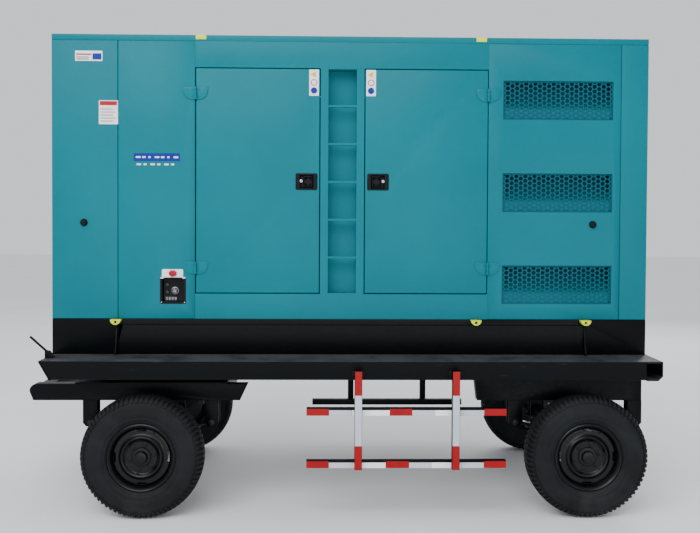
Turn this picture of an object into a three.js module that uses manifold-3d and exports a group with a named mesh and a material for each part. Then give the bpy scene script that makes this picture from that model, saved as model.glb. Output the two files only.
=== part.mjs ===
// Towable diesel generator: an enclosed generating set on a four-wheel, full-turntable trailer.
// Millimetres, +Z up, the tow end towards -X. "near" is the -Y side and "far" the +Y side.
import * as THREE from 'three';
import { mergeVertices } from 'three/addons/utils/BufferGeometryUtils.js';
import Module from 'manifold-3d';

const wasm = await Module();
wasm.setup();

// ---------------------------------------------------------------- driving dimensions
// Clearances between pieces
const touchGap = 0.3;
const doorGap = 6;
const runningGap = 2;

// Canopy
const canopyLength = 4020;
const canopyWidth = 1400;
const canopyHeight = 1905;
const panelThickness = 40;
const doorHeight = 1508;
const doorSill = 176;
const doorWidth = 829;
const pillarWidth = 308;
const pillarCentre = -65;
const ladderWidth = 190;
const ladderDepth = 100;
const ladderPan = 6;
const rungCount = 5;
const rungPitch = 255;
const rungHeight = 14;
const rungDepth = 24;
const topRungDrop = 240;

// Air grilles in the rear side panels
const grilleWidth = 748;
const grilleHeight = 260;
const grillePitch = 625;
const grilleCount = 3;
const grilleFromRear = 239;
const lowestGrille = 106;
const grilleSheet = 3;
const grilleOverlap = 25;

// Doors, hinges and paddle latches
const hingeStandoff = 15;
const knuckleRadius = 9;
const hingePinRadius = 4;
const hingeLeafLength = 82;
const hingeLeafHeight = 86;
const hingeLeafThickness = 6;
const hingeInset = 168;
const latchCentreHeight = 752;
const latchFromEdge = 87;
const latchPocketWidth = 96;
const latchPocketHeight = 92;
const latchPocketDepth = 24;
const paddleThickness = 12;
const paddleClearance = 5;

// Emergency stop box, recessed low in the front near side panel
const stopBoxWidth = 157;
const stopBoxHeight = 226;
const stopBoxDepth = 60;
const stopBoxWall = 3;
const stopBoxFromDoor = 75;
const stopBoxAboveBase = 109;
const stopButtonRadius = 20;
const stopButtonStem = 9;
const stopButtonTravel = 6;
const stopPlateHeight = 58;
const stopPlateInset = 32;
const stopButtonHead = 11;

// Control door in the rear wall, over the control cabinet
const controlDoorWidth = 620;
const controlDoorHeight = 760;
const controlDoorBase = 830;
const cabinetDepth = 300;
const cabinetMargin = 60;

// Air outlet in the front wall
const outletWidth = 1000;
const outletHeight = 1300;
const outletBase = 300;
const outletBladeCount = 9;
const outletBladeThickness = 5;

// Fuel tank base
const tankHeight = 240;
const lugWidth = 70;
const lugHeight = 40;
const lugReach = 12;
const gussetReach = 60;
const gussetThickness = 12;
const tankFrontLug = -1576;
const tankMiddleLug = 842;
const tankRearLug = 1586;

// Trailer deck and chassis
const deckWidth = 2000;
const deckPlate = 6;
const deckSkirt = 120;
const beamDepth = 151;
const beamWidth = 90;
const beamWeb = 10;
const beamFlange = 12;
const beamSpread = 860;
const bumperDepth = 108;
const bumperHeight = 126;
const bumperChamfer = 30;
const bumperOverhang = 13;
const apronDrop = 126;
const apronRun = 68;
const apronThickness = 8;

// Running gear: 7.50-16 tyres on six-stud rims
const tyreRadius = 402.5;
const tyreWidth = 215;
const tyreWall = 20;
const tyreShoulder = 26;
const tyreTreadInset = 36;
const tyreCrownWall = 44;
const tyreBulgeRise = 10;
const rimRadius = 203;
const rimWidth = 172;
const rimFlangeRadius = 222;
const rimThickness = 6;
const drumRadius = 160;
const drumFromRim = 16;
const drumFace = 36;
const discWeldWidth = 8;
const discCrownRadius = 142;
const discCrownHeight = 62;
const studCircleRadius = 96;
const studFaceHeight = 46;
const hubCapRadius = 36;
const hubCapHeight = 92;
const hubBoreEnd = 50;
const spindleRadius = 30;
const track = 1705;
const frontAxleX = -1370;
const rearAxleX = 1560;
const axleBeam = 80;
const axleToDrum = 12;
const springSpread = 1120;
const springWidth = 70;
const leafThickness = 12;
const leafCount = 5;
const springHalfLength = 415;
const springCamber = 62;
const springEyeRadius = 20;
const springPinRadius = 10;
const railAboveAxle = 309.5;
const railDepth = 112;
const railWidth = 80;
const hangerFoot = 180;
const hangerLength = 96;
const hangerCheek = 10;

// Turntable bogie
const noseOverhang = 828;
const railTail = 662;
const noseRadius = 49;
const seatPlate = 10;
const seatPlateLength = 1040;
const crossMemberWidth = 90;
const crossMemberSetback = 58;
const railTailSlope = 52;
const hangerChamfer = 24;
const rearRailReach = 722;
const rearRailSlope = 40;
const ringRadius = 500;
const ringWidth = 80;
const ringHeight = 26;
const ringGap = 1;
const towLugThickness = 20;
const towLugGap = 80;
const towLugReach = 46;
const towLugHeight = 90;
const towPlate = 10;

// Side guards
const guardTube = 50;
const guardLength = 1296;
const guardCentre = 355;
const guardPostSpacing = 628;
const guardPostHeight = 636;
const guardRailPitch = 340;
const guardOnSkirt = 64;

// Parking brake lever
const leverSideClearance = 90;
const leverLength = 158;
const leverTail = 16;
const leverAngle = 42;
const leverWidth = 14;
const leverRise = 32;
const leverSetback = 20;
const leverBracket = 62;
const leverPlate = 6;
const leverBossRadius = 13;
const leverBoreRadius = 6;
const leverPinRadius = 5;

// Generating set
const engineLength = 1050;
const engineWidth = 560;
const engineHeight = 760;
const engineFront = -930;
const shaftHeight = 470;
const engineFoot = 120;
const flywheelRadius = 270;
const flywheelHousing = 110;
const pulleyRadius = 110;
const pulleyWidth = 60;
const fanShaftRadius = 34;
const fanShaftReach = 119;
const fanAboveShaft = 200;
const fanHubRadius = 90;
const bladeWidth = 110;
const bladeThickness = 8;
const bladePitch = 0.5;
const alternatorLength = 760;
const alternatorRadius = 300;
const alternatorFoot = 120;
const terminalBoxHalf = 230;
const terminalBoxRise = 190;
const radiatorWidth = 1000;
const radiatorHeight = 1150;
const radiatorDepth = 110;
const radiatorLeg = 90;
const radiatorLip = 10;
const radiatorPost = 30;
const radiatorFront = -1330;
const fanRadius = 400;
const fanBlades = 7;
const fanDepth = 70;
const silencerRadius = 150;
const silencerLength = 900;
const silencerDrop = 130;
const silencerStrap = 50;
const exhaustPipeRadius = 45;
const exhaustFromFront = 300;
const exhaustFlangeHeight = 610;
const silencerX = -1640;
const batteryLength = 510;
const batteryWidth = 220;
const batteryHeight = 225;
const batteryFromAlternator = 90;
const batteryFromSide = 160;
const batteryPostRadius = 12;
const batteryPostInset = 60;

// ---------------------------------------------------------------- levels and planes worked out
const axleZ = tyreRadius;
const railBottom = axleZ + railAboveAxle;
const railTop = railBottom + railDepth;
const ringBottom = railTop + seatPlate + touchGap;
const upperRingBottom = ringBottom + ringHeight + ringGap;
const beamBottom = upperRingBottom + ringHeight + touchGap;
const deckUnderside = beamBottom + beamDepth + touchGap;
const deckTop = deckUnderside + deckPlate;
const tankBottom = deckTop + touchGap;
const tankTop = tankBottom + tankHeight;
const canopyBase = tankTop + touchGap;
const canopyTop = canopyBase + canopyHeight;
const wallTop = canopyTop - panelThickness - touchGap;
const frontEnd = -canopyLength / 2;
const rearEnd = canopyLength / 2;
const sideFace = canopyWidth / 2;
const doorBottom = canopyBase + doorSill;
const doorTop = doorBottom + doorHeight;
const pillarFront = pillarCentre - pillarWidth / 2 + doorGap;
const pillarRear = pillarCentre + pillarWidth / 2 - doorGap;
const noseX = frontAxleX - noseOverhang;
const bumperRear = rearEnd + bumperOverhang;
const turns = 20;
const ringTurns = 28;
const smallTurns = 8;

// ---------------------------------------------------------------- shape helpers
function manifoldOf(geometry) {
  const bare = geometry.index ? geometry.toNonIndexed() : geometry.clone();
  bare.deleteAttribute('normal');
  bare.deleteAttribute('uv');
  const merged = mergeVertices(bare, 1e-3);
  return new wasm.Manifold(new wasm.Mesh({
    numProp: 3,
    vertProperties: new Float32Array(merged.attributes.position.array),
    triVerts: new Uint32Array(merged.index.array),
  }));
}

function geometryOf(solid) {
  const mesh = solid.getMesh();
  const geometry = new THREE.BufferGeometry();
  geometry.setAttribute('position', new THREE.BufferAttribute(mesh.vertProperties, 3));
  geometry.setIndex(new THREE.BufferAttribute(mesh.triVerts, 1));
  const flat = geometry.toNonIndexed();
  flat.computeVertexNormals();
  return flat;
}

function join(...geometries) {
  const solids = geometries.map(manifoldOf);
  return geometryOf(solids.reduce((whole, piece) => whole.add(piece)));
}

function cut(body, ...tools) {
  return geometryOf(tools.map(manifoldOf).reduce((rest, tool) => rest.subtract(tool), manifoldOf(body)));
}

function block(x0, x1, y0, y1, z0, z1) {
  const box = new THREE.BoxGeometry(Math.abs(x1 - x0), Math.abs(y1 - y0), Math.abs(z1 - z0));
  return box.translate((x0 + x1) / 2, (y0 + y1) / 2, (z0 + z1) / 2);
}

function outline(points) {
  return new THREE.Shape(points.map(([a, b]) => new THREE.Vector2(a, b)));
}

// An outline in X and Z, extruded from y0 to y1
function alongY(shape, y0, y1) {
  const solid = new THREE.ExtrudeGeometry(shape, {
    depth: Math.abs(y1 - y0), bevelEnabled: false, curveSegments: smallTurns,
  });
  return solid.rotateX(Math.PI / 2).translate(0, Math.max(y0, y1), 0);
}

// An outline in Y and Z, extruded from x0 to x1
function alongX(shape, x0, x1) {
  const solid = new THREE.ExtrudeGeometry(shape, {
    depth: x1 - x0, bevelEnabled: false, curveSegments: smallTurns,
  });
  return solid.rotateX(Math.PI / 2).rotateZ(Math.PI / 2).translate(x0, 0, 0);
}

// A closed profile of [radius, height] turned about Z, flats facing the axes
function turned(profile, segments) {
  const points = profile.map(([r, h]) => new THREE.Vector2(r, h));
  const lathe = new THREE.LatheGeometry(points, segments, Math.PI / segments);
  return lathe.rotateX(Math.PI / 2);
}

function rod(radius, length, segments) {
  return turned([[0, 0], [radius, 0], [radius, length], [0, length]], segments);
}

// A rod from y0 to y1 about a line through (x, z)
function rodY(radius, y0, y1, x, z, segments) {
  return rod(radius, Math.abs(y1 - y0), segments).rotateX(Math.PI / 2).translate(x, Math.max(y0, y1), z);
}

function rodZ(radius, z0, z1, x, y, segments) {
  return rod(radius, z1 - z0, segments).translate(x, y, z0);
}

// ---------------------------------------------------------------- materials
function paint(color, roughness, metalness) {
  return new THREE.MeshStandardMaterial({ color, roughness, metalness });
}

const materials = {
  teal: paint(0x1896a0, 0.45, 0.1),
  chassis: paint(0x15181c, 0.5, 0.2),
  tyre: paint(0x23262b, 0.85, 0),
  wheel: paint(0x14171a, 0.4, 0.3),
  mesh: paint(0x20505c, 0.6, 0.3),
  latch: paint(0x17181a, 0.5, 0.1),
  guard: paint(0xc8ccd2, 0.4, 0.2),
  steel: paint(0x6f757c, 0.4, 0.7),
  red: paint(0xb01820, 0.4, 0),
  engine: paint(0x2f5d3a, 0.5, 0.2),
  alternator: paint(0x3a4048, 0.5, 0.3),
  battery: paint(0x1c1d1f, 0.6, 0),
  cabinet: paint(0x8d9297, 0.5, 0.2),
};

// X is measured from the canopy's middle inside this group; the group centres the whole machine.
const generator = new THREE.Group();
const machine = new THREE.Group();
machine.position.x = -(noseX + bumperRear) / 2;
generator.add(machine);

function place(name, geometry, material, parent = machine) {
  const mesh = new THREE.Mesh(geometry, material);
  mesh.name = name;
  parent.add(mesh);
  return mesh;
}

const sides = [['near', -1], ['far', 1]];

// ---------------------------------------------------------------- wheels and tyres
// Profiles are [radius, height], the height running outwards from the wheel's middle plane.
function tyreGeometry() {
  const half = tyreWidth / 2;
  const bead = rimWidth / 2 - rimThickness - touchGap;
  const seat = rimRadius + touchGap;
  const flats = Math.cos(Math.PI / turns);
  const crown = tyreRadius / flats;
  const side = (seat + crown) / 2 + tyreBulgeRise;
  const shoulderInset = tyreTreadInset / 3;
  const treadHalf = half - tyreTreadInset;
  const innerHalf = treadHalf - 2;
  const outer = [
    [seat, -bead], [rimFlangeRadius + tyreWall / 2, -bead], [side, -half],
    [crown - tyreShoulder, -half + shoulderInset], [crown, -treadHalf], [crown, treadHalf],
    [crown - tyreShoulder, half - shoulderInset], [side, half],
    [rimFlangeRadius + tyreWall / 2, bead], [seat, bead],
  ];
  const inner = [
    [seat, bead - tyreWall], [crown - tyreCrownWall, innerHalf], [crown - tyreCrownWall, -innerHalf],
    [seat, -bead + tyreWall],
  ];
  return turned([...outer, ...inner, outer[0]], turns);
}

const drumBack = rimWidth / 2 - drumFromRim;
const boreDepth = -hubBoreEnd;
const boreRadius = spindleRadius + runningGap * 2;

// Rim, dished disc, hub and brake drum bolted up as one wheel; the outside faces +height here
function wheelGeometry() {
  const flange = rimWidth / 2;
  const wall = rimRadius - rimThickness;
  const discEdge = wall - discWeldWidth;
  const profile = [
    [0, -boreDepth], [boreRadius, -boreDepth], [boreRadius, -drumBack], [drumRadius, -drumBack],
    [drumRadius, drumFace], [discEdge, drumFace / 2], [wall, drumFace / 2], [wall, -flange], [rimFlangeRadius, -flange],
    [rimFlangeRadius, -flange + rimThickness], [rimRadius, -flange + rimThickness],
    [rimRadius, flange - rimThickness], [rimFlangeRadius, flange - rimThickness],
    [rimFlangeRadius, flange], [wall, flange], [wall, drumFace - 10], [discCrownRadius, discCrownHeight],
    [studCircleRadius, studFaceHeight], [hubCapRadius + 4, studFaceHeight + 12], [hubCapRadius, hubCapHeight],
    [0, hubCapHeight],
  ];
  return turned(profile, turns);
}

for (const [end, axleX] of [['front', frontAxleX], ['rear', rearAxleX]]) {
  for (const [side, sign] of sides) {
    const corner = new THREE.Group();
    corner.position.set(axleX, sign * track / 2, axleZ);
    corner.rotation.x = -sign * Math.PI / 2;
    machine.add(corner);
    place(`tyre_${end}_${side}`, tyreGeometry(), materials.tyre, corner);
    place(`wheel_${end}_${side}`, wheelGeometry(), materials.wheel, corner);
  }
}

// ---------------------------------------------------------------- axles and leaf springs
const axleInner = track / 2 - drumBack - axleToDrum;
const spindleEnd = track / 2 - boreDepth - runningGap;

function axleGeometry(x) {
  const half = axleBeam / 2;
  const beam = block(x - half, x + half, -axleInner, axleInner, axleZ - half, axleZ + half);
  return join(beam, rodY(spindleRadius, -spindleEnd, spindleEnd, x, axleZ, turns));
}

place('front_axle', axleGeometry(frontAxleX), materials.chassis);
place('rear_axle', axleGeometry(rearAxleX), materials.chassis);

const springBase = axleZ + axleBeam / 2 + touchGap;
const mainLeafTop = springBase + leafCount * leafThickness;

// Height of the main leaf's top edge at a distance from the axle
function leafTop(distance) {
  return mainLeafTop + springCamber * (distance / springHalfLength) ** 2;
}

const springEyeZ = leafTop(springHalfLength) - leafThickness / 2;

// Stepped leaves under one cambered main leaf, with an eye rolled at each end
function springGeometry(x, y) {
  const steps = 6;
  const top = [];
  for (let i = -steps; i <= steps; i++) {
    const distance = (i / steps) * springHalfLength;
    top.push([x + distance, leafTop(distance)]);
  }
  const underside = [];
  for (let leaf = 0; leaf < leafCount; leaf++) {
    const depth = leafThickness * (leaf + 1);
    for (const share of [leaf, leaf + 1]) {
      const reach = springHalfLength * (1 - share / leafCount);
      underside.push([reach, leafTop(reach) - depth]);
    }
  }
  const right = underside.map(([reach, z]) => [x + reach, z]);
  const left = underside.slice(0, -1).reverse().map(([reach, z]) => [x - reach, z]);
  const y0 = y - springWidth / 2;
  const y1 = y + springWidth / 2;
  let spring = alongY(outline([...top, ...right, ...left]), y0, y1);
  for (const end of [-1, 1]) {
    const eyeX = x + end * springHalfLength;
    const eye = rodY(springEyeRadius, y0, y1, eyeX, springEyeZ, smallTurns);
    const bore = rodY(springPinRadius + runningGap / 2, y0 - 1, y1 + 1, eyeX, springEyeZ, smallTurns);
    spring = cut(join(spring, eye), bore);
  }
  return spring;
}

for (const [end, axleX] of [['front', frontAxleX], ['rear', rearAxleX]]) {
  for (const [side, sign] of sides) {
    place(`leaf_spring_${end}_${side}`, springGeometry(axleX, sign * springSpread / 2), materials.chassis);
  }
}

// Two cheeks and a pin that carry one spring eye under a rail
function hangerGeometry(x, y) {
  const half = hangerLength / 2;
  const foot = railBottom - hangerFoot;
  const chamfer = hangerChamfer;
  const inner = springWidth / 2 + touchGap * 2;
  const cheek = outline([
    [x - half, railBottom + 2], [x + half, railBottom + 2], [x + half, foot + chamfer],
    [x + half - chamfer, foot], [x - half + chamfer, foot], [x - half, foot + chamfer],
  ]);
  return join(
    alongY(cheek, y - inner - hangerCheek, y - inner),
    alongY(cheek, y + inner, y + inner + hangerCheek),
    rodY(springPinRadius, y - inner - 1, y + inner + 1, x, springEyeZ, smallTurns),
  );
}

function hangersOver(axleX, y) {
  return [-1, 1].map((end) => hangerGeometry(axleX + end * springHalfLength, y));
}

// ---------------------------------------------------------------- turntable bogie
function bogieRail(y) {
  const points = [[noseX + 25, railBottom]];
  const arcSteps = 5;
  for (let i = 0; i <= arcSteps; i++) {
    const angle = (i / arcSteps) * Math.PI / 2;
    const back = noseRadius * (1 - Math.cos(angle));
    points.push([noseX + back, railTop - noseRadius + noseRadius * Math.sin(angle)]);
  }
  const tail = frontAxleX + railTail;
  points.push([tail, railTop], [tail - railTailSlope, railBottom]);
  return alongY(outline(points), y - railWidth / 2, y + railWidth / 2);
}

const railY = springSpread / 2;
const crossFront = noseX + crossMemberSetback;
const seatFront = frontAxleX - seatPlateLength / 2;
const seatRear = frontAxleX + seatPlateLength / 2;

function crossMember(x0) {
  return block(x0, x0 + crossMemberWidth, -railY, railY, railBottom + 10, railTop - 6);
}

place('bogie_frame', join(
  bogieRail(-railY), bogieRail(railY),
  crossMember(crossFront), crossMember(seatRear - crossMemberWidth),
  block(seatFront, seatRear, -railY - railWidth / 2, railY + railWidth / 2, railTop - 1, railTop + seatPlate),
  ...hangersOver(frontAxleX, -railY), ...hangersOver(frontAxleX, railY),
), materials.chassis);

const towFace = crossFront - touchGap;
const towMiddle = (railBottom + railTop) / 2;

function towLug(y0) {
  return block(towFace - towLugReach, towFace, y0, y0 + towLugThickness,
    towMiddle - towLugHeight / 2, towMiddle + towLugHeight / 2);
}

place('tow_bracket', join(
  block(towFace - towPlate, towFace, -towLugGap, towLugGap,
    towMiddle - towLugHeight / 2, towMiddle + towLugHeight / 2),
  towLug(towLugGap / 2), towLug(-towLugGap / 2 - towLugThickness),
), materials.chassis);

function slewRing(z0) {
  const inner = ringRadius - ringWidth;
  const profile = [[inner, z0], [ringRadius, z0], [ringRadius, z0 + ringHeight], [inner, z0 + ringHeight]];
  return turned([...profile, profile[0]], ringTurns).translate(frontAxleX, 0, 0);
}

place('slew_ring_lower', slewRing(ringBottom), materials.steel);
place('slew_ring_upper', slewRing(upperRingBottom), materials.steel);

// ---------------------------------------------------------------- chassis and deck
const apronFoot = deckTop - apronDrop;
const apronTop = deckUnderside - touchGap;
const chassisFront = frontEnd + apronRun + apronThickness + runningGap;
const bumperWeb = 8;
const bumperFront = bumperRear - bumperDepth;

function beamGeometry(y) {
  const half = beamWidth / 2;
  const rear = bumperFront - runningGap;
  return join(
    block(chassisFront, rear, y - half, y + half, beamBottom, beamBottom + beamFlange),
    block(chassisFront, rear, y - beamWeb / 2, y + beamWeb / 2, beamBottom, beamBottom + beamDepth),
    block(chassisFront, rear, y - half, y + half, beamBottom + beamDepth - beamFlange, beamBottom + beamDepth),
  );
}

function apronGeometry() {
  const shape = outline([
    [frontEnd, apronTop], [frontEnd + apronRun, apronFoot],
    [frontEnd + apronRun + apronThickness, apronFoot], [frontEnd + apronThickness, apronTop],
  ]);
  return alongY(shape, -deckWidth / 2, deckWidth / 2);
}

const skirtWall = 8;

function skirtGeometry(sign) {
  const slope = apronRun / (apronTop - apronFoot);
  const foot = deckTop - deckSkirt;
  const startTop = frontEnd + apronThickness + runningGap;
  const shape = outline([
    [startTop - 2 * slope, deckUnderside + 2], [bumperFront, deckUnderside + 2], [bumperFront, foot],
    [startTop + (apronTop - foot) * slope, foot],
  ]);
  return alongY(shape, sign * (deckWidth / 2 - skirtWall), sign * deckWidth / 2);
}

place('deck', join(
  block(frontEnd, bumperRear - bumperWeb - touchGap, -deckWidth / 2, deckWidth / 2, deckUnderside, deckTop),
  skirtGeometry(-1), skirtGeometry(1),
), materials.chassis);

for (const [side, sign] of sides) {
  place(`main_beam_${side}`, beamGeometry(sign * beamSpread / 2), materials.chassis);
}
place('front_apron', apronGeometry(), materials.chassis);

function bumperGeometry() {
  const top = deckUnderside - touchGap;
  const foot = deckTop - bumperHeight;
  const chamfer = bumperChamfer;
  const back = bumperRear - bumperWeb;
  const web = block(back, bumperRear, -deckWidth / 2, deckWidth / 2, top - bumperWeb, deckTop);
  const lip = alongY(outline([
    [bumperFront + runningGap, foot], [bumperRear - chamfer, foot], [bumperRear, foot + chamfer],
    [bumperRear, top], [back, top], [back, foot + chamfer + 2], [back - chamfer + 6, foot + bumperWeb],
    [bumperFront + runningGap, foot + bumperWeb],
  ]), -deckWidth / 2, deckWidth / 2);
  const shelf = block(bumperFront + runningGap, bumperRear - 1, -deckWidth / 2, deckWidth / 2, top - bumperWeb, top);
  return join(web, lip, shelf);
}

place('rear_bumper', bumperGeometry(), materials.chassis);

// Deep side plates under the rear of the deck that carry the rear springs
function rearRail(y) {
  const front = rearAxleX - rearRailReach;
  const rear = bumperFront - runningGap;
  const top = deckUnderside - touchGap;
  const tail = rearAxleX + springHalfLength + hangerLength / 2;
  const shelf = deckTop - bumperHeight - runningGap;
  const plate = alongY(outline([
    [front, top], [front + rearRailSlope, railBottom], [tail, railBottom], [tail, shelf], [rear, shelf], [rear, top],
  ]), y - railWidth / 2, y + railWidth / 2);
  return join(plate, ...hangersOver(rearAxleX, y));
}

for (const [side, sign] of sides) {
  place(`rear_spring_frame_${side}`, rearRail(sign * railY), materials.chassis);
}

// ---------------------------------------------------------------- side guards
const guardTop = deckTop - deckSkirt + guardOnSkirt;

function guardGeometry(sign) {
  const face = deckWidth / 2 + touchGap;
  const half = guardTube / 2;
  const tubes = [];
  for (const end of [-1, 1]) {
    const x = guardCentre + end * guardPostSpacing / 2;
    tubes.push(block(x - half, x + half, sign * face, sign * (face + guardTube), guardTop - guardPostHeight, guardTop));
  }
  const lowRail = guardTop - guardPostHeight;
  for (const level of [0, guardRailPitch]) {
    tubes.push(block(guardCentre - guardLength / 2, guardCentre + guardLength / 2,
      sign * (face + 1), sign * (face + 1 - guardTube), lowRail + level, lowRail + level + guardTube));
  }
  return join(...tubes);
}

for (const [side, sign] of sides) {
  place(`side_guard_${side}`, guardGeometry(sign), materials.guard);
}

// ---------------------------------------------------------------- parking brake lever
const leverY = -(sideFace + gussetReach + leverSideClearance);
const leverPivotX = frontEnd + leverSetback;
const leverPivotZ = deckTop + leverRise;
const bracketHalf = leverWidth / 2 + touchGap * 2;
const bracketFoot = deckTop + touchGap;
const bracketTop = leverPivotZ + leverBossRadius + 3;

function bracketCheek(y0, y1) {
  const shape = outline([
    [frontEnd, bracketFoot], [frontEnd + leverBracket, bracketFoot],
    [leverPivotX + leverBossRadius - 1, leverPivotZ + leverBossRadius - 1],
    [leverPivotX - leverBossRadius - 1, bracketTop], [frontEnd, bracketTop],
  ]);
  return alongY(shape, y0, y1);
}

place('brake_bracket', join(
  bracketCheek(leverY - bracketHalf - leverPlate, leverY - bracketHalf),
  bracketCheek(leverY + bracketHalf, leverY + bracketHalf + leverPlate),
  block(frontEnd, frontEnd + leverBracket, leverY - bracketHalf - leverPlate,
    leverY + bracketHalf + leverPlate, bracketFoot, bracketFoot + leverPlate),
  rodY(leverPinRadius, leverY - bracketHalf - 1, leverY + bracketHalf + 1, leverPivotX, leverPivotZ, smallTurns),
), materials.chassis);

function leverGeometry() {
  const flat = leverWidth / 2;
  const arm = block(-leverLength, leverTail, -flat, flat, -leverPlate, leverPlate);
  const boss = rodY(leverBossRadius, -flat, flat, 0, 0, smallTurns);
  const bore = rodY(leverBoreRadius, -flat - 1, flat + 1, 0, 0, smallTurns);
  return cut(join(arm, boss), bore);
}

const lever = place('brake_lever', leverGeometry(), materials.chassis);
lever.position.set(leverPivotX, leverY, leverPivotZ);
lever.rotation.y = THREE.MathUtils.degToRad(leverAngle);

// ---------------------------------------------------------------- fuel tank base
const lugPlaces = [tankFrontLug, tankMiddleLug, tankRearLug];
const gussetPlaces = [tankFrontLug, tankRearLug];

function tankGeometry() {
  const pieces = [block(frontEnd, rearEnd, -sideFace, sideFace, tankBottom, tankTop)];
  for (const sign of [-1, 1]) {
    for (const x of lugPlaces) {
      pieces.push(block(x - lugWidth / 2, x + lugWidth / 2, sign * (sideFace - 1), sign * (sideFace + lugReach),
        tankTop - lugHeight, tankTop));
    }
    for (const x of gussetPlaces) {
      const y = (reach) => sign * (sideFace + reach);
      pieces.push(alongX(outline([
        [y(-1), tankTop - lugHeight - 2], [y(lugReach), tankTop - lugHeight - 2],
        [y(gussetReach), tankBottom], [y(-1), tankBottom],
      ]), x - gussetThickness / 2, x + gussetThickness / 2));
    }
  }
  return join(...pieces);
}

place('fuel_tank', tankGeometry(), materials.chassis);

// ---------------------------------------------------------------- canopy panels
const leftDoorX = pillarCentre - pillarWidth / 2 - doorWidth;
const rightDoorX = pillarCentre + pillarWidth / 2 + doorWidth;
const frontPanelEnd = leftDoorX - doorGap;
const rearPanelStart = rightDoorX + doorGap;
const wallFront = frontEnd + panelThickness + touchGap;
const wallRear = rearEnd - panelThickness - touchGap;
const hingeLevels = [doorBottom + hingeInset, doorTop - hingeInset];

// Frame-side half of a hinge: leaf, two outer knuckles and the pin
function fixedHinge(x, z, sign, away) {
  const face = sign * sideFace;
  const out = (d) => face + sign * d;
  const axisY = out(hingeStandoff);
  const third = hingeLeafHeight / 3;
  const low = z - hingeLeafHeight / 2;
  const knuckle = (z0, z1) => rodZ(knuckleRadius, z0, z1, x, axisY, smallTurns);
  return [
    block(x + away * 1, x + away * hingeLeafLength, out(-1), out(hingeLeafThickness), low, low + hingeLeafHeight),
    block(x - away * 2, x + away * 8, out(2), out(hingeStandoff), low, low + third - touchGap),
    block(x - away * 2, x + away * 8, out(2), out(hingeStandoff), z + third / 2 + touchGap, low + hingeLeafHeight),
    knuckle(low, low + third - touchGap),
    knuckle(z + third / 2 + touchGap, low + hingeLeafHeight),
    rodZ(hingePinRadius, low + 1, low + hingeLeafHeight - 1, x, axisY, smallTurns),
  ];
}

// Door-side half: leaf and the middle knuckle, bored for the pin
function movingHinge(x, z, sign, away) {
  const face = sign * sideFace;
  const out = (d) => face + sign * d;
  const third = hingeLeafHeight / 3;
  const z0 = z - third / 2 + touchGap;
  const z1 = z + third / 2 - touchGap;
  return [
    block(x - away * (doorGap / 2 + 1), x - away * hingeLeafLength, out(-1), out(hingeLeafThickness),
      z - hingeLeafHeight / 2, z + hingeLeafHeight / 2),
    block(x, x - away * (doorGap / 2 + 8), out(2), out(hingeStandoff), z0, z1),
    rodZ(knuckleRadius, z0, z1, x, out(hingeStandoff), smallTurns),
  ];
}

function pinBore(x, z, sign) {
  return rodZ(hingePinRadius + 1, z - hingeLeafHeight / 2, z + hingeLeafHeight / 2, x,
    sign * (sideFace + hingeStandoff), smallTurns);
}

// Room for the middle knuckle, cut out of the frame-side leaf, and the other way round
function knuckleSlot(x, sign, z0, z1) {
  const face = sign * sideFace;
  return block(x - 12, x + 12, face + sign * touchGap, face + sign * 40, z0, z1);
}

const leftHingeX = leftDoorX - doorGap / 2;
const rightHingeX = rightDoorX + doorGap / 2;

function withFixedHinges(panel, x, sign, away) {
  let solid = panel;
  for (const z of hingeLevels) {
    const third = hingeLeafHeight / 3;
    const [leaf, ...rest] = fixedHinge(x, z, sign, away);
    const slotted = cut(leaf, knuckleSlot(x, sign, z - third / 2, z + third / 2));
    solid = join(solid, slotted, ...rest);
  }
  return solid;
}

const stopBoxX1 = leftDoorX - stopBoxFromDoor;
const stopBoxX0 = stopBoxX1 - stopBoxWidth;
const stopBoxZ0 = canopyBase + stopBoxAboveBase;
const stopBoxZ1 = stopBoxZ0 + stopBoxHeight;
const stopPlateZ0 = stopBoxZ1 - stopPlateHeight;
const stopButtonX = (stopBoxX0 + stopBoxX1) / 2;
const stopButtonZ = stopBoxZ1 - stopPlateHeight / 2;

function frontSidePanel(sign) {
  const y = (d) => sign * (sideFace - d);
  const panel = block(wallFront, frontPanelEnd, y(0), y(panelThickness), canopyBase, wallTop);
  const hinged = withFixedHinges(panel, leftHingeX, sign, -1);
  if (sign > 0) return hinged;
  const margin = stopBoxWall + touchGap;
  const pocket = block(stopBoxX0 + margin, stopBoxX1 - margin, y(-1), y(panelThickness + 1),
    stopBoxZ0 + margin, stopPlateZ0 - margin);
  const stemHole = rodY(stopButtonStem + runningGap * 2, y(-1), y(panelThickness + 1),
    stopButtonX, stopButtonZ, smallTurns);
  return cut(hinged, pocket, stemHole);
}

const grilleX1 = rearEnd - grilleFromRear;
const grilleX0 = grilleX1 - grilleWidth;
const grilleBases = Array.from({ length: grilleCount }, (_, i) => canopyBase + lowestGrille + i * grillePitch);
const grilleSkin = 12;

function rearSidePanel(sign) {
  const y = (d) => sign * (sideFace - d);
  const panel = block(rearPanelStart, wallRear, y(0), y(panelThickness), canopyBase, wallTop);
  const hinged = withFixedHinges(panel, rightHingeX, sign, 1);
  const windows = grilleBases.map((z) => (
    block(grilleX0, grilleX1, y(-1), y(panelThickness + 1), z, z + grilleHeight)));
  const pocket = block(grilleX0 - grilleOverlap - touchGap, grilleX1 + grilleOverlap + touchGap,
    y(grilleSkin), y(panelThickness + 1), grilleBases[0] - grilleOverlap - touchGap,
    grilleBases.at(-1) + grilleHeight + grilleOverlap + touchGap);
  return cut(hinged, pocket, ...windows);
}

function grilleSheetGeometry(sign) {
  const y = (d) => sign * (sideFace - d);
  return block(grilleX0 - grilleOverlap, grilleX1 + grilleOverlap, y(grilleSkin + touchGap),
    y(grilleSkin + touchGap + grilleSheet), grilleBases[0] - grilleOverlap,
    grilleBases.at(-1) + grilleHeight + grilleOverlap);
}

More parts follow.
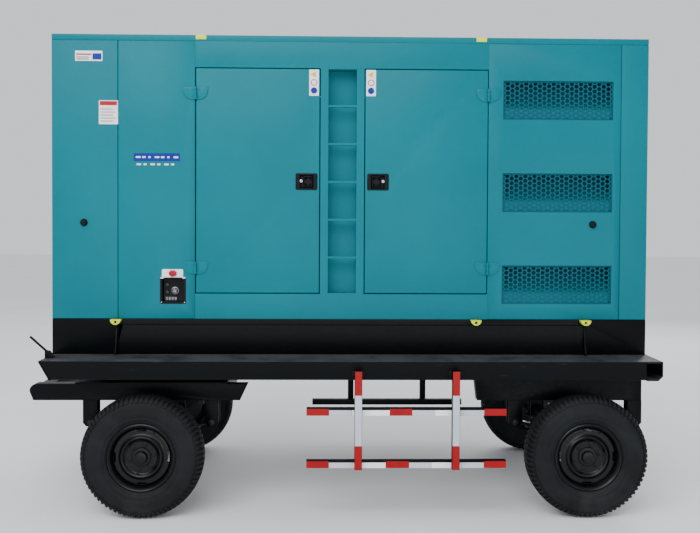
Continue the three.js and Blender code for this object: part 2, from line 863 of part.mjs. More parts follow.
// Header, sill and centre pillar with the recessed ladder between the two doors
function doorFrame(sign) {
  const y = (d) => sign * (sideFace - d);
  const x0 = frontPanelEnd + touchGap;
  const x1 = rearPanelStart - touchGap;
  const frameDoorGap = doorGap;
  const ladderX0 = pillarCentre - ladderWidth / 2;
  const ladderX1 = pillarCentre + ladderWidth / 2;
  const pan = block(ladderX0 - ladderPan, ladderX1 + ladderPan, y(1), y(ladderDepth + ladderPan),
    doorBottom - 2 * ladderPan, doorTop + 2 * ladderPan);
  const body = join(
    block(x0, x1, y(0), y(panelThickness), canopyBase, doorBottom - frameDoorGap),
    block(x0, x1, y(0), y(panelThickness), doorTop + frameDoorGap, wallTop),
    block(pillarFront, pillarRear, y(0), y(panelThickness), doorBottom - 20, doorTop + 20),
    pan,
  );
  const recess = block(ladderX0, ladderX1, y(-1), y(ladderDepth), doorBottom, doorTop);
  const rungs = Array.from({ length: rungCount }, (_, i) => {
    const top = doorTop - topRungDrop - i * rungPitch;
    return block(ladderX0 - 1, ladderX1 + 1, y(2), y(2 + rungDepth), top - rungHeight, top);
  });
  return join(cut(body, recess), ...rungs);
}

for (const [side, sign] of sides) {
  place(`front_side_panel_${side}`, frontSidePanel(sign), materials.teal);
  place(`rear_side_panel_${side}`, rearSidePanel(sign), materials.teal);
  place(`air_grille_${side}`, grilleSheetGeometry(sign), materials.mesh);
  place(`door_frame_${side}`, doorFrame(sign), materials.teal);
}

place('roof', block(frontEnd, rearEnd, -sideFace, sideFace, canopyTop - panelThickness, canopyTop), materials.teal);

// Front wall: a louvred outlet for the cooling air
function frontWall() {
  const z0 = canopyBase + outletBase;
  const x0 = frontEnd;
  const x1 = frontEnd + panelThickness;
  const wall = block(x0, x1, -sideFace, sideFace, canopyBase, wallTop);
  const opening = block(x0 - 1, x1 + 1, -outletWidth / 2, outletWidth / 2, z0, z0 + outletHeight);
  const pitch = outletHeight / outletBladeCount;
  const blades = Array.from({ length: outletBladeCount }, (_, i) => {
    const z = z0 + pitch * (i + 0.5);
    const drop = pitch * 0.45;
    const blade = outline([
      [x0 + 3, z - drop], [x0 + 3 + outletBladeThickness, z - drop],
      [x1 - 3, z + drop], [x1 - 3 - outletBladeThickness, z + drop],
    ]);
    return alongY(blade, -outletWidth / 2 - 2, outletWidth / 2 + 2);
  });
  return join(cut(wall, opening), ...blades);
}

place('canopy_front_wall', frontWall(), materials.teal);

// Rear wall: an opening for the control door
const controlBase = canopyBase + controlDoorBase;

function rearWall() {
  const x0 = rearEnd - panelThickness;
  const half = controlDoorWidth / 2 + doorGap;
  const wall = block(x0, rearEnd, -sideFace, sideFace, canopyBase, wallTop);
  return cut(wall, block(x0 - 1, rearEnd + 1, -half, half, controlBase - doorGap,
    controlBase + controlDoorHeight + doorGap));
}

place('canopy_rear_wall', rearWall(), materials.teal);
place('control_door', block(rearEnd - panelThickness, rearEnd, -controlDoorWidth / 2, controlDoorWidth / 2,
  controlBase, controlBase + controlDoorHeight), materials.teal);

// ---------------------------------------------------------------- doors and paddle latches
const latchZ = doorBottom + latchCentreHeight;

// A pocket for the paddle, whose open side faces out of the door
function latchPocket(x, sign) {
  return block(x - latchPocketWidth / 2, x + latchPocketWidth / 2, sign * (sideFace + 1),
    sign * (sideFace - latchPocketDepth), latchZ - latchPocketHeight / 2, latchZ + latchPocketHeight / 2);
}

function doorGeometry(x0, x1, hingeX, latchX, sign, away) {
  let door = block(x0, x1, sign * sideFace, sign * (sideFace - panelThickness), doorBottom, doorTop);
  door = cut(door, latchPocket(latchX, sign));
  for (const z of hingeLevels) {
    const third = hingeLeafHeight / 3;
    const [leaf, ...rest] = movingHinge(hingeX, z, sign, away);
    const high = z + hingeLeafHeight / 2;
    const slotted = cut(leaf, knuckleSlot(hingeX, sign, z - hingeLeafHeight / 2 - 1, z - third / 2),
      knuckleSlot(hingeX, sign, z + third / 2, high + 1));
    door = cut(join(door, slotted, ...rest), pinBore(hingeX, z, sign));
  }
  return door;
}

// The paddle turns about its edge nearest the door's free edge; its origin is on that axis
function paddleGeometry(sign, towardsHinge) {
  const width = latchPocketWidth - 2 * paddleClearance;
  const half = latchPocketHeight / 2 - paddleClearance;
  const y0 = sign * (sideFace - 2 - paddleThickness);
  const plate = block(0, towardsHinge * width, y0, sign * (sideFace - 2), -half, half);
  return cut(plate, block(towardsHinge * (width - 16), towardsHinge * (width + 1), y0 - sign,
    y0 + sign * (paddleThickness - 4), -half + 8, half - 8));
}

const doors = [
  ['left', leftDoorX, leftDoorX + doorWidth, leftHingeX, -1],
  ['right', rightDoorX - doorWidth, rightDoorX, rightHingeX, 1],
];

for (const [side, sign] of sides) {
  for (const [hand, x0, x1, hingeX, away] of doors) {
    const freeEdge = away < 0 ? x1 : x0;
    const latchX = freeEdge + away * latchFromEdge;
    place(`door_${hand}_${side}`, doorGeometry(x0, x1, hingeX, latchX, sign, away), materials.teal);
    const handle = place(`latch_${hand}_${side}`, paddleGeometry(sign, away), materials.latch);
    handle.position.set(latchX - away * (latchPocketWidth / 2 - paddleClearance), 0, latchZ);
  }
}

// ---------------------------------------------------------------- emergency stop and socket box
function stopBoxGeometry() {
  const y = (d) => -(sideFace - d);
  const wall = stopBoxWall;
  const flange = join(
    block(stopBoxX0 - 8, stopBoxX1 + 8, y(-touchGap), y(-touchGap - wall), stopBoxZ0 - 8, stopPlateZ0),
    block(stopBoxX0 + stopPlateInset, stopBoxX1 - stopPlateInset, y(-touchGap), y(-touchGap - wall),
      stopPlateZ0 - 1, stopBoxZ1),
  );
  const gap = stopBoxWall + 2 * touchGap;
  const tray = block(stopBoxX0 + gap, stopBoxX1 - gap, y(-touchGap), y(stopBoxDepth),
    stopBoxZ0 + gap, stopPlateZ0 - gap);
  const hollow = block(stopBoxX0 + gap + wall, stopBoxX1 - gap - wall, y(-10), y(stopBoxDepth - wall),
    stopBoxZ0 + gap + wall, stopPlateZ0 - gap - wall);
  const stemHole = rodY(stopButtonStem + runningGap, y(-10), y(10), stopButtonX, stopButtonZ, smallTurns);
  return cut(join(flange, tray), hollow, stemHole);
}

place('stop_socket_box', stopBoxGeometry(), materials.latch);

function stopButtonGeometry() {
  const head = -(sideFace + touchGap + stopBoxWall + stopButtonTravel + touchGap);
  return join(
    rodY(stopButtonRadius, head, head - stopButtonHead, 0, 0, 16),
    rodY(stopButtonStem, head - 1, -(sideFace - panelThickness - 8), 0, 0, smallTurns),
  );
}

const stopButton = place('emergency_stop_button', stopButtonGeometry(), materials.red);
stopButton.position.set(stopButtonX, 0, stopButtonZ);

// ---------------------------------------------------------------- generating set
const floor = tankTop + touchGap;
const shaftZ = floor + shaftHeight;
const fanZ = shaftZ + fanAboveShaft;
const engineRear = engineFront + engineLength;

function engineGeometry() {
  const half = engineWidth / 2;
  const inX = (front, rear) => [engineFront + front, engineRear - rear];
  const inY = (near, far) => [-half + near, half - far];
  const up = (low, high) => [floor + low, floor + high];
  const feet = [];
  for (const x of [engineFront + engineFoot, engineRear - 2 * engineFoot + 40]) {
    for (const sign of [-1, 1]) {
      feet.push(block(x, x + engineFoot, sign * (half - 110), sign * (half + 20), ...up(0, 330)));
    }
  }
  const crankcase = block(...inX(0, 90), ...inY(90, 90), ...up(200, 560));
  const sump = block(...inX(60, 120), ...inY(140, 150), ...up(90, 210));
  const head = block(...inX(30, 100), ...inY(150, 170), ...up(550, engineHeight));
  const exhaustManifold = block(...inX(80, 180), half - 200, half, ...up(480, 600));
  const inletManifold = block(...inX(100, 220), -half, -half + 120, ...up(430, 560));
  const flywheel = rod(flywheelRadius, flywheelHousing, turns)
    .rotateY(Math.PI / 2).translate(engineRear - flywheelHousing, 0, shaftZ);
  const pulley = rod(pulleyRadius, pulleyWidth, 16)
    .rotateY(Math.PI / 2).translate(engineFront - pulleyWidth + 1, 0, shaftZ);
  const fanShaft = rod(fanShaftRadius, fanShaftReach + 11, 12)
    .rotateY(Math.PI / 2).translate(engineFront - fanShaftReach, 0, fanZ);
  const waterPump = block(engineFront - 4, engineFront + 90, -80, 80, shaftZ + 60, fanZ + 60);
  return join(crankcase, sump, head, exhaustManifold, inletManifold, flywheel, pulley, fanShaft, waterPump, ...feet);
}

place('engine', engineGeometry(), materials.engine);

const alternatorFront = engineRear + touchGap;

function alternatorGeometry() {
  const x0 = alternatorFront;
  const x1 = x0 + alternatorLength;
  const footHalf = alternatorRadius - 20;
  return join(
    rod(alternatorRadius, alternatorLength, turns).rotateY(Math.PI / 2).translate(x0, 0, shaftZ),
    block(x0 + 140, x1 - 60, -terminalBoxHalf, terminalBoxHalf, shaftZ + 180, shaftZ + alternatorRadius + terminalBoxRise),
    block(x0 + alternatorFoot, x0 + 2 * alternatorFoot, -footHalf, footHalf, floor, shaftZ),
    block(x1 - 2 * alternatorFoot, x1 - alternatorFoot, -footHalf, footHalf, floor, shaftZ),
  );
}

place('alternator', alternatorGeometry(), materials.alternator);

const radiatorRear = radiatorFront + radiatorDepth;

function radiatorGeometry() {
  const half = radiatorWidth / 2;
  const base = floor + radiatorLeg;
  const top = base + radiatorHeight;
  const frame = [radiatorFront - radiatorLip, radiatorRear + radiatorLip];
  const outer = half + radiatorPost;
  const inner = half - 2 * radiatorLip;
  return join(
    block(radiatorFront, radiatorRear, -half, half, base, top),
    block(...frame, -half, half, top - radiatorLeg, top + 40),
    block(...frame, -half, half, base - radiatorPost, base + 2 * radiatorPost),
    block(...frame, -outer, -inner, floor, top),
    block(...frame, inner, outer, floor, top),
  );
}

place('radiator', radiatorGeometry(), materials.alternator);

function fanGeometry() {
  const hub = rod(fanHubRadius, fanDepth, 14);
  const root = fanHubRadius - 10;
  const span = fanRadius - root;
  const pieces = [hub];
  for (let i = 0; i < fanBlades; i++) {
    const blade = new THREE.BoxGeometry(span, bladeWidth, bladeThickness);
    blade.rotateX(bladePitch).translate(span / 2 + root, 0, fanDepth / 2);
    pieces.push(blade.rotateZ((i / fanBlades) * 2 * Math.PI));
  }
  return join(...pieces);
}

const fan = place('cooling_fan', fanGeometry(), materials.latch);
fan.position.set(engineFront - fanShaftReach - runningGap - fanDepth, 0, fanZ);
fan.rotation.y = Math.PI / 2;

function silencerGeometry() {
  const z = canopyTop - panelThickness - silencerRadius - silencerDrop;
  const pipeX = engineFront + exhaustFromFront;
  const pipeY = engineWidth / 2 - 60;
  const halfStrap = silencerStrap / 2;
  const strap = (y) => block(silencerX - 15, silencerX + 15, y - halfStrap, y + halfStrap, z, wallTop);
  return join(
    rodY(silencerRadius, -silencerLength / 2, silencerLength / 2, silencerX, z, 16),
    rod(exhaustPipeRadius, pipeX - silencerX, smallTurns).rotateY(Math.PI / 2).translate(silencerX, pipeY, z),
    rodZ(exhaustPipeRadius, floor + exhaustFlangeHeight, z + exhaustPipeRadius, pipeX, pipeY, smallTurns),
    strap(-silencerLength / 3), strap(silencerLength / 3),
  );
}

place('exhaust_silencer', silencerGeometry(), materials.steel);

const batteryX = alternatorFront + alternatorLength + batteryFromAlternator;
const batteryY = -sideFace + batteryFromSide;
const batteryTop = floor + batteryHeight;

function batteryPost(x) {
  return rodZ(batteryPostRadius, batteryTop - 1, batteryTop + 16, x, batteryY + 40, smallTurns);
}

place('battery', join(
  block(batteryX, batteryX + batteryLength, batteryY, batteryY + batteryWidth, floor, batteryTop),
  batteryPost(batteryX + batteryPostInset), batteryPost(batteryX + batteryLength - batteryPostInset),
), materials.battery);

const cabinetRear = rearEnd - panelThickness - touchGap;
place('control_cabinet', block(cabinetRear - cabinetDepth, cabinetRear, -controlDoorWidth / 2 - cabinetMargin,
  controlDoorWidth / 2 + cabinetMargin, controlBase - cabinetMargin,
  controlBase + controlDoorHeight + cabinetMargin), materials.cabinet);

export default generator;
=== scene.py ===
# %% [markdown]
# # A towable diesel generator, modelled piece by piece
# The machine is an enclosed generating set on a four-wheel trailer. Its frame, sizes and joints come from
# a packed engineering model. This notebook gives every piece the shape, edges and finish that a
# fabricator's shop would give it. Lengths are metres, +Z is up and the tow end points along -X.

# %% Load the engineering model
import math

import bpy
from mathutils import Matrix, Vector


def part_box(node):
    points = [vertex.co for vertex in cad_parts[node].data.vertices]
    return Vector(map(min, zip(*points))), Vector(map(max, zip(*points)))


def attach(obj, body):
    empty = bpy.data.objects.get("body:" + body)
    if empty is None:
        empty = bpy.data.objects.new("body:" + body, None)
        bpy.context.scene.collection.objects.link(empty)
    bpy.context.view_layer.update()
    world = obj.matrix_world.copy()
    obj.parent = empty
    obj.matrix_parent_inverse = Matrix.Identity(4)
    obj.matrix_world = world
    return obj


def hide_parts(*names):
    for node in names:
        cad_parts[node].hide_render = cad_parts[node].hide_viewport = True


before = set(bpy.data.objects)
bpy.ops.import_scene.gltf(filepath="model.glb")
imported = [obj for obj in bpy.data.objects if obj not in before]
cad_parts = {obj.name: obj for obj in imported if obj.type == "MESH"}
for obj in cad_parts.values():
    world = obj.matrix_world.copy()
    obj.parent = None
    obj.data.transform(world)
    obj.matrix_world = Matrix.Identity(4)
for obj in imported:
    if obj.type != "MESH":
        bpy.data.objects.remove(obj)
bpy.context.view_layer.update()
SIDES = (("near", -1), ("far", 1))

# %% [markdown]
# ## Camera
# The machine is seen square from its side, from eye height and about six metres away. A camera can be
# aimed by hand or placed by numbers. Numbers are chosen here, because the lens and the height decide how
# much of the deck's top shows. The small vertical shift keeps the canopy's edges upright.

# %% Camera
LENS = 45.6
SHIFT_Y = -0.0386
CAMERA_PLACE = (-0.059, -6.69, 1.966)
YAW, PITCH, ROLL = -0.0227, -0.0236, 0.005

camera_data = bpy.data.cameras.new("side_camera")
camera_data.lens = LENS
camera_data.sensor_width = 36.0
camera_data.shift_y = SHIFT_Y
camera = bpy.data.objects.new("side_camera", camera_data)
bpy.context.scene.collection.objects.link(camera)
level = Matrix.Rotation(math.pi / 2 + PITCH, 4, "X")
turn = Matrix.Rotation(YAW, 4, "Z") @ level @ Matrix.Rotation(ROLL, 4, "Z")
camera.matrix_world = Matrix.Translation(CAMERA_PLACE) @ turn
bpy.context.scene.camera = camera
print("camera lens", LENS)

# %% [markdown]
# ## Floor and light
# A plain pale floor lies flat under the machine, and the pale world colour stands behind it as a studio backdrop. The
# light is soft, like an overcast sky, so that paint shows its colour and edges show by thin highlights. One large
# panel light stands high in front, and weaker ones fill the undercarriage and the far side.

# %% Floor, backdrop and lights
def add_world(strength):
    world = bpy.data.worlds.new("studio")
    bpy.context.scene.world = world
    world.use_nodes = True
    background = world.node_tree.nodes["Background"]
    background.inputs["Color"].default_value = (0.93, 0.96, 1.0, 1.0)
    background.inputs["Strength"].default_value = strength


def area_light(name, place, aim, size, power):
    data = bpy.data.lights.new(name, "AREA")
    data.shape = "RECTANGLE"
    data.size, data.size_y = size
    data.energy = power
    light = bpy.data.objects.new(name, data)
    bpy.context.scene.collection.objects.link(light)
    light.location = place
    light.rotation_euler = (Vector(aim) - Vector(place)).to_track_quat("-Z", "Y").to_euler()
    return light


def add_floor():
    bpy.ops.object.select_all(action="DESELECT")
    bpy.ops.mesh.primitive_plane_add(size=80, location=(0, 0, 0))
    floor = bpy.context.active_object
    floor.name = "floor"
    material = bpy.data.materials.new("pale_floor")
    material.use_nodes = True
    tree = material.node_tree
    place = tree.nodes.new("ShaderNodeTexCoord")
    cloud = tree.nodes.new("ShaderNodeTexNoise")
    cloud.inputs["Scale"].default_value = 0.6
    tree.links.new(place.outputs["Object"], cloud.inputs["Vector"])
    ramp = tree.nodes.new("ShaderNodeValToRGB")
    ramp.color_ramp.elements[0].color = (0.80, 0.81, 0.82, 1)
    ramp.color_ramp.elements[1].color = (0.88, 0.89, 0.90, 1)
    tree.links.new(cloud.outputs["Fac"], ramp.inputs["Fac"])
    tree.links.new(ramp.outputs["Color"], tree.nodes["Principled BSDF"].inputs["Base Color"])
    tree.nodes["Principled BSDF"].inputs["Roughness"].default_value = 0.85
    floor.data.materials.append(material)


add_floor()
add_world(0.95)
area_light("key", (-2.5, -8.0, 7.5), (0.0, 0.0, 1.9), (9.0, 5.0), 900.0)
area_light("fill_low", (1.0, -9.0, 1.2), (0.0, 0.0, 0.6), (10.0, 2.0), 160.0)
area_light("back", (3.0, 9.0, 6.0), (0.0, 0.0, 1.5), (9.0, 5.0), 420.0)

# %% [markdown]
# ## Small tools
# Each new piece starts as a primitive at its real place, is shaped in edit mode, and ends as a mesh whose
# object sits at the origin. These helpers keep that habit in one place: they deselect everything before an
# operator runs, apply the object's place to its mesh, and round the edges, since no sheet is ever sharp.

# %% Selection and finishing helpers
WELD = 0.00005


def deselect():
    bpy.ops.object.select_all(action="DESELECT")


def only(obj):
    deselect()
    obj.select_set(True)
    bpy.context.view_layer.objects.active = obj


def settle(obj):
    only(obj)
    bpy.ops.object.transform_apply(location=True, rotation=True, scale=True)
    return obj


def apply_modifier(obj, kind, **settings):
    only(obj)
    modifier = obj.modifiers.new(kind.lower(), kind)
    for key, value in settings.items():
        setattr(modifier, key, value)
    bpy.ops.object.modifier_apply(modifier=modifier.name)
    return obj


def round_edges(obj, width, segments=2, angle=40):
    return apply_modifier(obj, "BEVEL", width=width, segments=segments, limit_method="ANGLE",
                          angle_limit=math.radians(angle), use_clamp_overlap=True, harden_normals=False)


def edit(obj, selection, *steps):
    """Selects faces by a test on centre and normal, and runs edit-mode steps on them."""
    only(obj)
    bpy.ops.object.mode_set(mode="EDIT")
    bpy.ops.mesh.select_mode(type="FACE")
    bpy.ops.mesh.select_all(action="DESELECT")
    bpy.ops.object.mode_set(mode="OBJECT")
    count = 0
    for face in obj.data.polygons:
        face.select = bool(selection(face.center, face.normal))
        count += face.select
    bpy.ops.object.mode_set(mode="EDIT")
    for step in steps:
        step()
    bpy.ops.object.mode_set(mode="OBJECT")
    return count


def edit_all(obj, *steps):
    """Runs edit-mode steps on the whole mesh."""
    only(obj)
    bpy.ops.object.mode_set(mode="EDIT")
    bpy.ops.mesh.select_all(action="SELECT")
    for step in steps:
        step()
    bpy.ops.object.mode_set(mode="OBJECT")
    return obj


def edit_edges(obj, test, *steps):
    """Selects edges by a test on their middle and direction, and runs edit-mode steps on them."""
    only(obj)
    for edge in obj.data.edges:
        start, end = (obj.data.vertices[i].co for i in edge.vertices)
        edge.select = bool(test((start + end) / 2, (end - start).normalized()))
    for element in (*obj.data.vertices, *obj.data.polygons):
        element.select = False
    bpy.ops.object.mode_set(mode="EDIT")
    bpy.ops.mesh.select_mode(type="EDGE")
    for step in steps:
        step()
    bpy.ops.object.mode_set(mode="OBJECT")


def round_corners(plate, offset, segments, chosen=lambda middle: True):
    """Rounds the corners of an upright plate, which are its edges across the machine."""
    edit_edges(plate, lambda middle, along: abs(along.y) > 0.9 and chosen(middle),
               lambda: bpy.ops.mesh.bevel(offset=offset, segments=segments, affect="EDGES"))


def tidy_mesh(obj, distance=WELD):
    return edit_all(obj, lambda: bpy.ops.mesh.remove_doubles(threshold=distance),
                    lambda: bpy.ops.mesh.normals_make_consistent(inside=False))


def smooth(obj, angle=35):
    only(obj)
    bpy.ops.object.shade_smooth_by_angle(angle=math.radians(angle), keep_sharp_edges=True)
    return obj


def block(name, low, high, edge=0.002, segments=2):
    low, high = Vector(low), Vector(high)
    deselect()
    bpy.ops.mesh.primitive_cube_add(size=1, location=(low + high) / 2,
                                    scale=tuple(abs(h - l) for l, h in zip(low, high)))
    obj = bpy.context.active_object
    obj.name = name
    settle(obj)
    if edge:
        round_edges(obj, edge, segments)
    return obj


def rod(name, radius, start, end, sides=24, edge=0.0):
    start, end = Vector(start), Vector(end)
    along = end - start
    deselect()
    bpy.ops.mesh.primitive_cone_add(vertices=sides, radius1=radius, radius2=radius,
                                    depth=along.length, location=(start + end) / 2,
                                    rotation=along.to_track_quat("Z", "X").to_euler())
    obj = bpy.context.active_object
    obj.name = name
    settle(obj)
    if edge:
        round_edges(obj, edge, 2)
    return obj


def join(name, parts):
    deselect()
    for part in parts:
        part.select_set(True)
    bpy.context.view_layer.objects.active = parts[0]
    bpy.ops.object.join()
    parts[0].name = name
    return parts[0]


def cut(obj, *cutters):
    for cutter in cutters:
        apply_modifier(obj, "BOOLEAN", operation="DIFFERENCE", object=cutter, solver="EXACT")
        bpy.data.objects.remove(cutter)
    return obj


def spun(name, profile, centre, axis, steps=64):
    """Turns a profile of (radius, distance along the axis) once round the axis through the centre."""
    axis = Vector(axis).normalized()
    outward = Vector((0, 0, 1)) if abs(axis.z) < 0.5 else Vector((1, 0, 0))
    points = [Vector(centre) + outward * r + axis * h for r, h in profile]
    deselect()
    bpy.ops.mesh.primitive_plane_add(size=0.001, location=points[0])
    obj = bpy.context.active_object
    obj.name = name
    bpy.ops.object.mode_set(mode="EDIT")
    bpy.ops.mesh.select_mode(type="VERT")
    bpy.ops.mesh.select_all(action="SELECT")
    bpy.ops.mesh.merge(type="CENTER")
    for here, there in zip(points, points[1:]):
        bpy.ops.mesh.extrude_region_move(TRANSFORM_OT_translate={"value": tuple(there - here)})
    bpy.ops.mesh.select_all(action="SELECT")
    bpy.ops.mesh.spin(steps=steps, angle=2 * math.pi, center=tuple(Vector(centre)), axis=tuple(axis))
    bpy.ops.object.mode_set(mode="OBJECT")
    settle(obj)
    return tidy_mesh(obj, 0.0002)


def refined(node, name, edge=0.003, segments=2, angle=30):
    """A copy of an engineering solid, welded, with its flat faces made whole and its edges rounded."""
    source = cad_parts[node]
    obj = bpy.data.objects.new(name, source.data.copy())
    bpy.context.scene.collection.objects.link(obj)
    obj.data.materials.clear()
    edit_all(obj, lambda: bpy.ops.mesh.remove_doubles(threshold=WELD),
             lambda: bpy.ops.mesh.dissolve_limited(angle_limit=math.radians(2)))
    if edge:
        round_edges(obj, edge, segments, angle)
    return obj


made = []


def piece(obj, name, body, slot, material, *nodes, angle=35):
    """Names, shades and paints a finished piece, or a list that makes one, and says what it rides on."""
    if isinstance(obj, list):
        obj = join(name, obj)
    obj.name = name
    settle(obj)
    smooth(obj, angle)
    obj.data.materials.clear()
    obj.data.materials.append(material)
    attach(obj, body)
    if nodes:
        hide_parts(*nodes)
    made.append(name)
    return obj


print("tools ready")

# %% [markdown]
# ## Finishes
# Every surface has its own procedural material, built from noise in Object coordinates so that the pattern
# stays put on the piece. Painted sheet needs three things to read as paint: a slow drift in colour, a fine
# orange-peel bump and an uneven gloss. Dust settles on faces that look up and near the ground, so the
# painted metals share one builder that mixes dust in by the face's direction and its height.

# %% Material tools
def new_material(name):
    material = bpy.data.materials.new(name)
    material.use_nodes = True
    tree = material.node_tree
    shader = tree.nodes["Principled BSDF"]
    place = tree.nodes.new("ShaderNodeTexCoord")
    return material, tree, shader, place.outputs["Object"]


def noise(tree, place, scale, detail=4.0, roughness=0.55, stretch=(1, 1, 1)):
    mapping = tree.nodes.new("ShaderNodeMapping")
    mapping.inputs["Scale"].default_value = stretch
    tree.links.new(place, mapping.inputs["Vector"])
    texture = tree.nodes.new("ShaderNodeTexNoise")
    texture.inputs["Scale"].default_value = scale
    texture.inputs["Detail"].default_value = detail
    texture.inputs["Roughness"].default_value = roughness
    tree.links.new(mapping.outputs["Vector"], texture.inputs["Vector"])
    return texture.outputs["Fac"]


def remap(tree, value, from_low, from_high, to_low=0.0, to_high=1.0, smooth_step=False):
    node = tree.nodes.new("ShaderNodeMapRange")
    node.interpolation_type = "SMOOTHSTEP" if smooth_step else "LINEAR"
    for name, number in (("From Min", from_low), ("From Max", from_high), ("To Min", to_low), ("To Max", to_high)):
        node.inputs[name].default_value = number
    tree.links.new(value, node.inputs["Value"])
    return node.outputs["Result"]


def multiply(tree, first, second):
    node = tree.nodes.new("ShaderNodeMath")
    node.operation = "MULTIPLY"
    for socket, value in zip(node.inputs, (first, second)):
        if isinstance(value, float):
            socket.default_value = value
        else:
            tree.links.new(value, socket)
    return node.outputs["Value"]


def mix_colour(tree, factor, first, second, blend="MIX"):
    node = tree.nodes.new("ShaderNodeMix")
    node.data_type = "RGBA"
    node.blend_type = blend
    for socket, value in ((node.inputs[0], factor), (node.inputs[6], first), (node.inputs[7], second)):
        if isinstance(value, tuple):
            socket.default_value = (*value, 1.0)
        elif isinstance(value, float):
            socket.default_value = value
        else:
            tree.links.new(value, socket)
    return node.outputs[2]


def bump(tree, shader, height, strength, distance=0.001, after=None):
    node = tree.nodes.new("ShaderNodeBump")
    node.inputs["Strength"].default_value = strength
    node.inputs["Distance"].default_value = distance
    tree.links.new(height, node.inputs["Height"])
    if after is not None:
        tree.links.new(after, node.inputs["Normal"])
    tree.links.new(node.outputs["Normal"], shader.inputs["Normal"])
    return node.outputs["Normal"]


def upward(tree, low=0.35, high=0.95):
    geometry = tree.nodes.new("ShaderNodeNewGeometry")
    split = tree.nodes.new("ShaderNodeSeparateXYZ")
    tree.links.new(geometry.outputs["Normal"], split.inputs["Vector"])
    return remap(tree, split.outputs["Z"], low, high, smooth_step=True)


def height_share(tree, place, low, high):
    split = tree.nodes.new("ShaderNodeSeparateXYZ")
    tree.links.new(place, split.inputs["Vector"])
    return remap(tree, split.outputs["Z"], low, high, smooth_step=True)


DUST = (0.050, 0.054, 0.060)


def painted(name, colour, drift, gloss, dust=0.25, peel=0.12, metallic=0.0, dust_height=None,
            peel_scale=420.0, wear=0.0, specular=0.12, cover=(0.42, 0.72)):
    """Paint over sheet metal: colour drift, orange peel, uneven gloss, dust on upward faces and low down."""
    material, tree, shader, place = new_material(name)
    slow = remap(tree, noise(tree, place, 1.3, 3.0), 0.35, 0.65)
    fine = remap(tree, noise(tree, place, 38.0, 5.0), 0.3, 0.7)
    body = mix_colour(tree, slow, colour, drift)
    mottled = mix_colour(tree, multiply(tree, fine, 0.10), body, tuple(c * 1.35 + 0.0005 for c in colour))
    patches = remap(tree, noise(tree, place, 5.0, 6.0, 0.65), *cover, smooth_step=True)
    resting = multiply(tree, multiply(tree, upward(tree), patches), dust)
    dusty = mix_colour(tree, resting, mottled, DUST)
    if dust_height:
        low = height_share(tree, place, dust_height[1], dust_height[0])
        splash = multiply(tree, multiply(tree, low, patches), dust)
        dusty = mix_colour(tree, splash, dusty, DUST)
    if wear:
        scratches = remap(tree, noise(tree, place, 60.0, 2.0, 0.5, (0.12, 1.0, 1.0)), 0.66, 0.74)
        bare = tuple(min(1.0, c + 0.06) for c in colour)
        dusty = mix_colour(tree, multiply(tree, scratches, wear), dusty, bare)
    tree.links.new(dusty, shader.inputs["Base Color"])
    tree.links.new(remap(tree, fine, 0.0, 1.0, gloss - 0.05, gloss + 0.08), shader.inputs["Roughness"])
    shader.inputs["Metallic"].default_value = metallic
    shader.inputs["Specular IOR Level"].default_value = specular
    bump(tree, shader, noise(tree, place, peel_scale, 2.0), peel, 0.0006)
    return material


def plain_stuff(name, colour, drift, rough, grain_scale=260.0, grain=0.2, metallic=0.0, stretch=(1, 1, 1),
                specular=0.5):
    """Rubber, plastic or bare metal: grain at one scale drives colour, gloss and bump together."""
    material, tree, shader, place = new_material(name)
    grain_value = noise(tree, place, grain_scale, 4.0, 0.6, stretch)
    slow = remap(tree, noise(tree, place, 9.0, 4.0), 0.35, 0.7)
    body = mix_colour(tree, slow, colour, drift)
    speckled = mix_colour(tree, remap(tree, grain_value, 0.4, 0.9, 0.0, 0.5), body, drift)
    tree.links.new(speckled, shader.inputs["Base Color"])
    tree.links.new(remap(tree, grain_value, 0.3, 0.7, rough - 0.06, rough + 0.08), shader.inputs["Roughness"])
    shader.inputs["Metallic"].default_value = metallic
    shader.inputs["Specular IOR Level"].default_value = specular
    bump(tree, shader, grain_value, grain, 0.0005)
    return material


# %% The machine's finishes
teal = painted("canopy_teal", (0.0, 0.130, 0.166), (0.0, 0.146, 0.184), 0.36, dust=0.06, specular=0.10)
# Punched sheet and window rims: the canopy teal painted darker, as painted shade of the recessed air windows.
grille_shade_paint = painted("grille_painted_shade", (0.005, 0.070, 0.100), (0.006, 0.080, 0.112), 0.5, dust=0.05)
# Duct walls behind the punched sheet: a dark teal that is painted shade seen through the holes.
duct_painted_shade = painted("duct_painted_shade", (0.002, 0.060, 0.088), (0.003, 0.068, 0.098), 0.6, dust=0.1)
baffle_teal = painted("baffle_teal", (0.0004, 0.100, 0.130), (0.0006, 0.11, 0.142), 0.6, dust=0.1)
black = painted("chassis_black", (0.0003, 0.0009, 0.0016), (0.0006, 0.0014, 0.0022), 0.40, dust=0.05,
                dust_height=(0.3, 0.95), peel_scale=300.0, specular=0.11)
deck_black = painted("deck_black", (0.0003, 0.0009, 0.0016), (0.0006, 0.0014, 0.0022), 0.45, dust=0.85, wear=0.15,
                     peel_scale=240.0, specular=0.12, cover=(0.15, 0.60))
wheel_black = painted("wheel_black", (0.0005, 0.0009, 0.0014), (0.0009, 0.0014, 0.0020), 0.30, dust=0.06,
                      dust_height=(0.15, 0.6), specular=0.24)
lug_yellow = painted("lifting_yellow", (0.62, 0.72, 0.03), (0.56, 0.66, 0.04), 0.4, dust=0.05)
cabinet_grey = painted("cabinet_grey", (0.22, 0.23, 0.25), (0.20, 0.21, 0.23), 0.5, dust=0.1)
engine_green = painted("engine_green", (0.012, 0.05, 0.022), (0.016, 0.06, 0.027), 0.5, dust=0.15,
                       peel_scale=90.0)
machine_grey = painted("machine_grey", (0.02, 0.022, 0.026), (0.026, 0.028, 0.033), 0.5, dust=0.2)
steel = plain_stuff("brushed_steel", (0.20, 0.21, 0.22), (0.13, 0.135, 0.14), 0.38, 200.0, 0.1, 0.9)
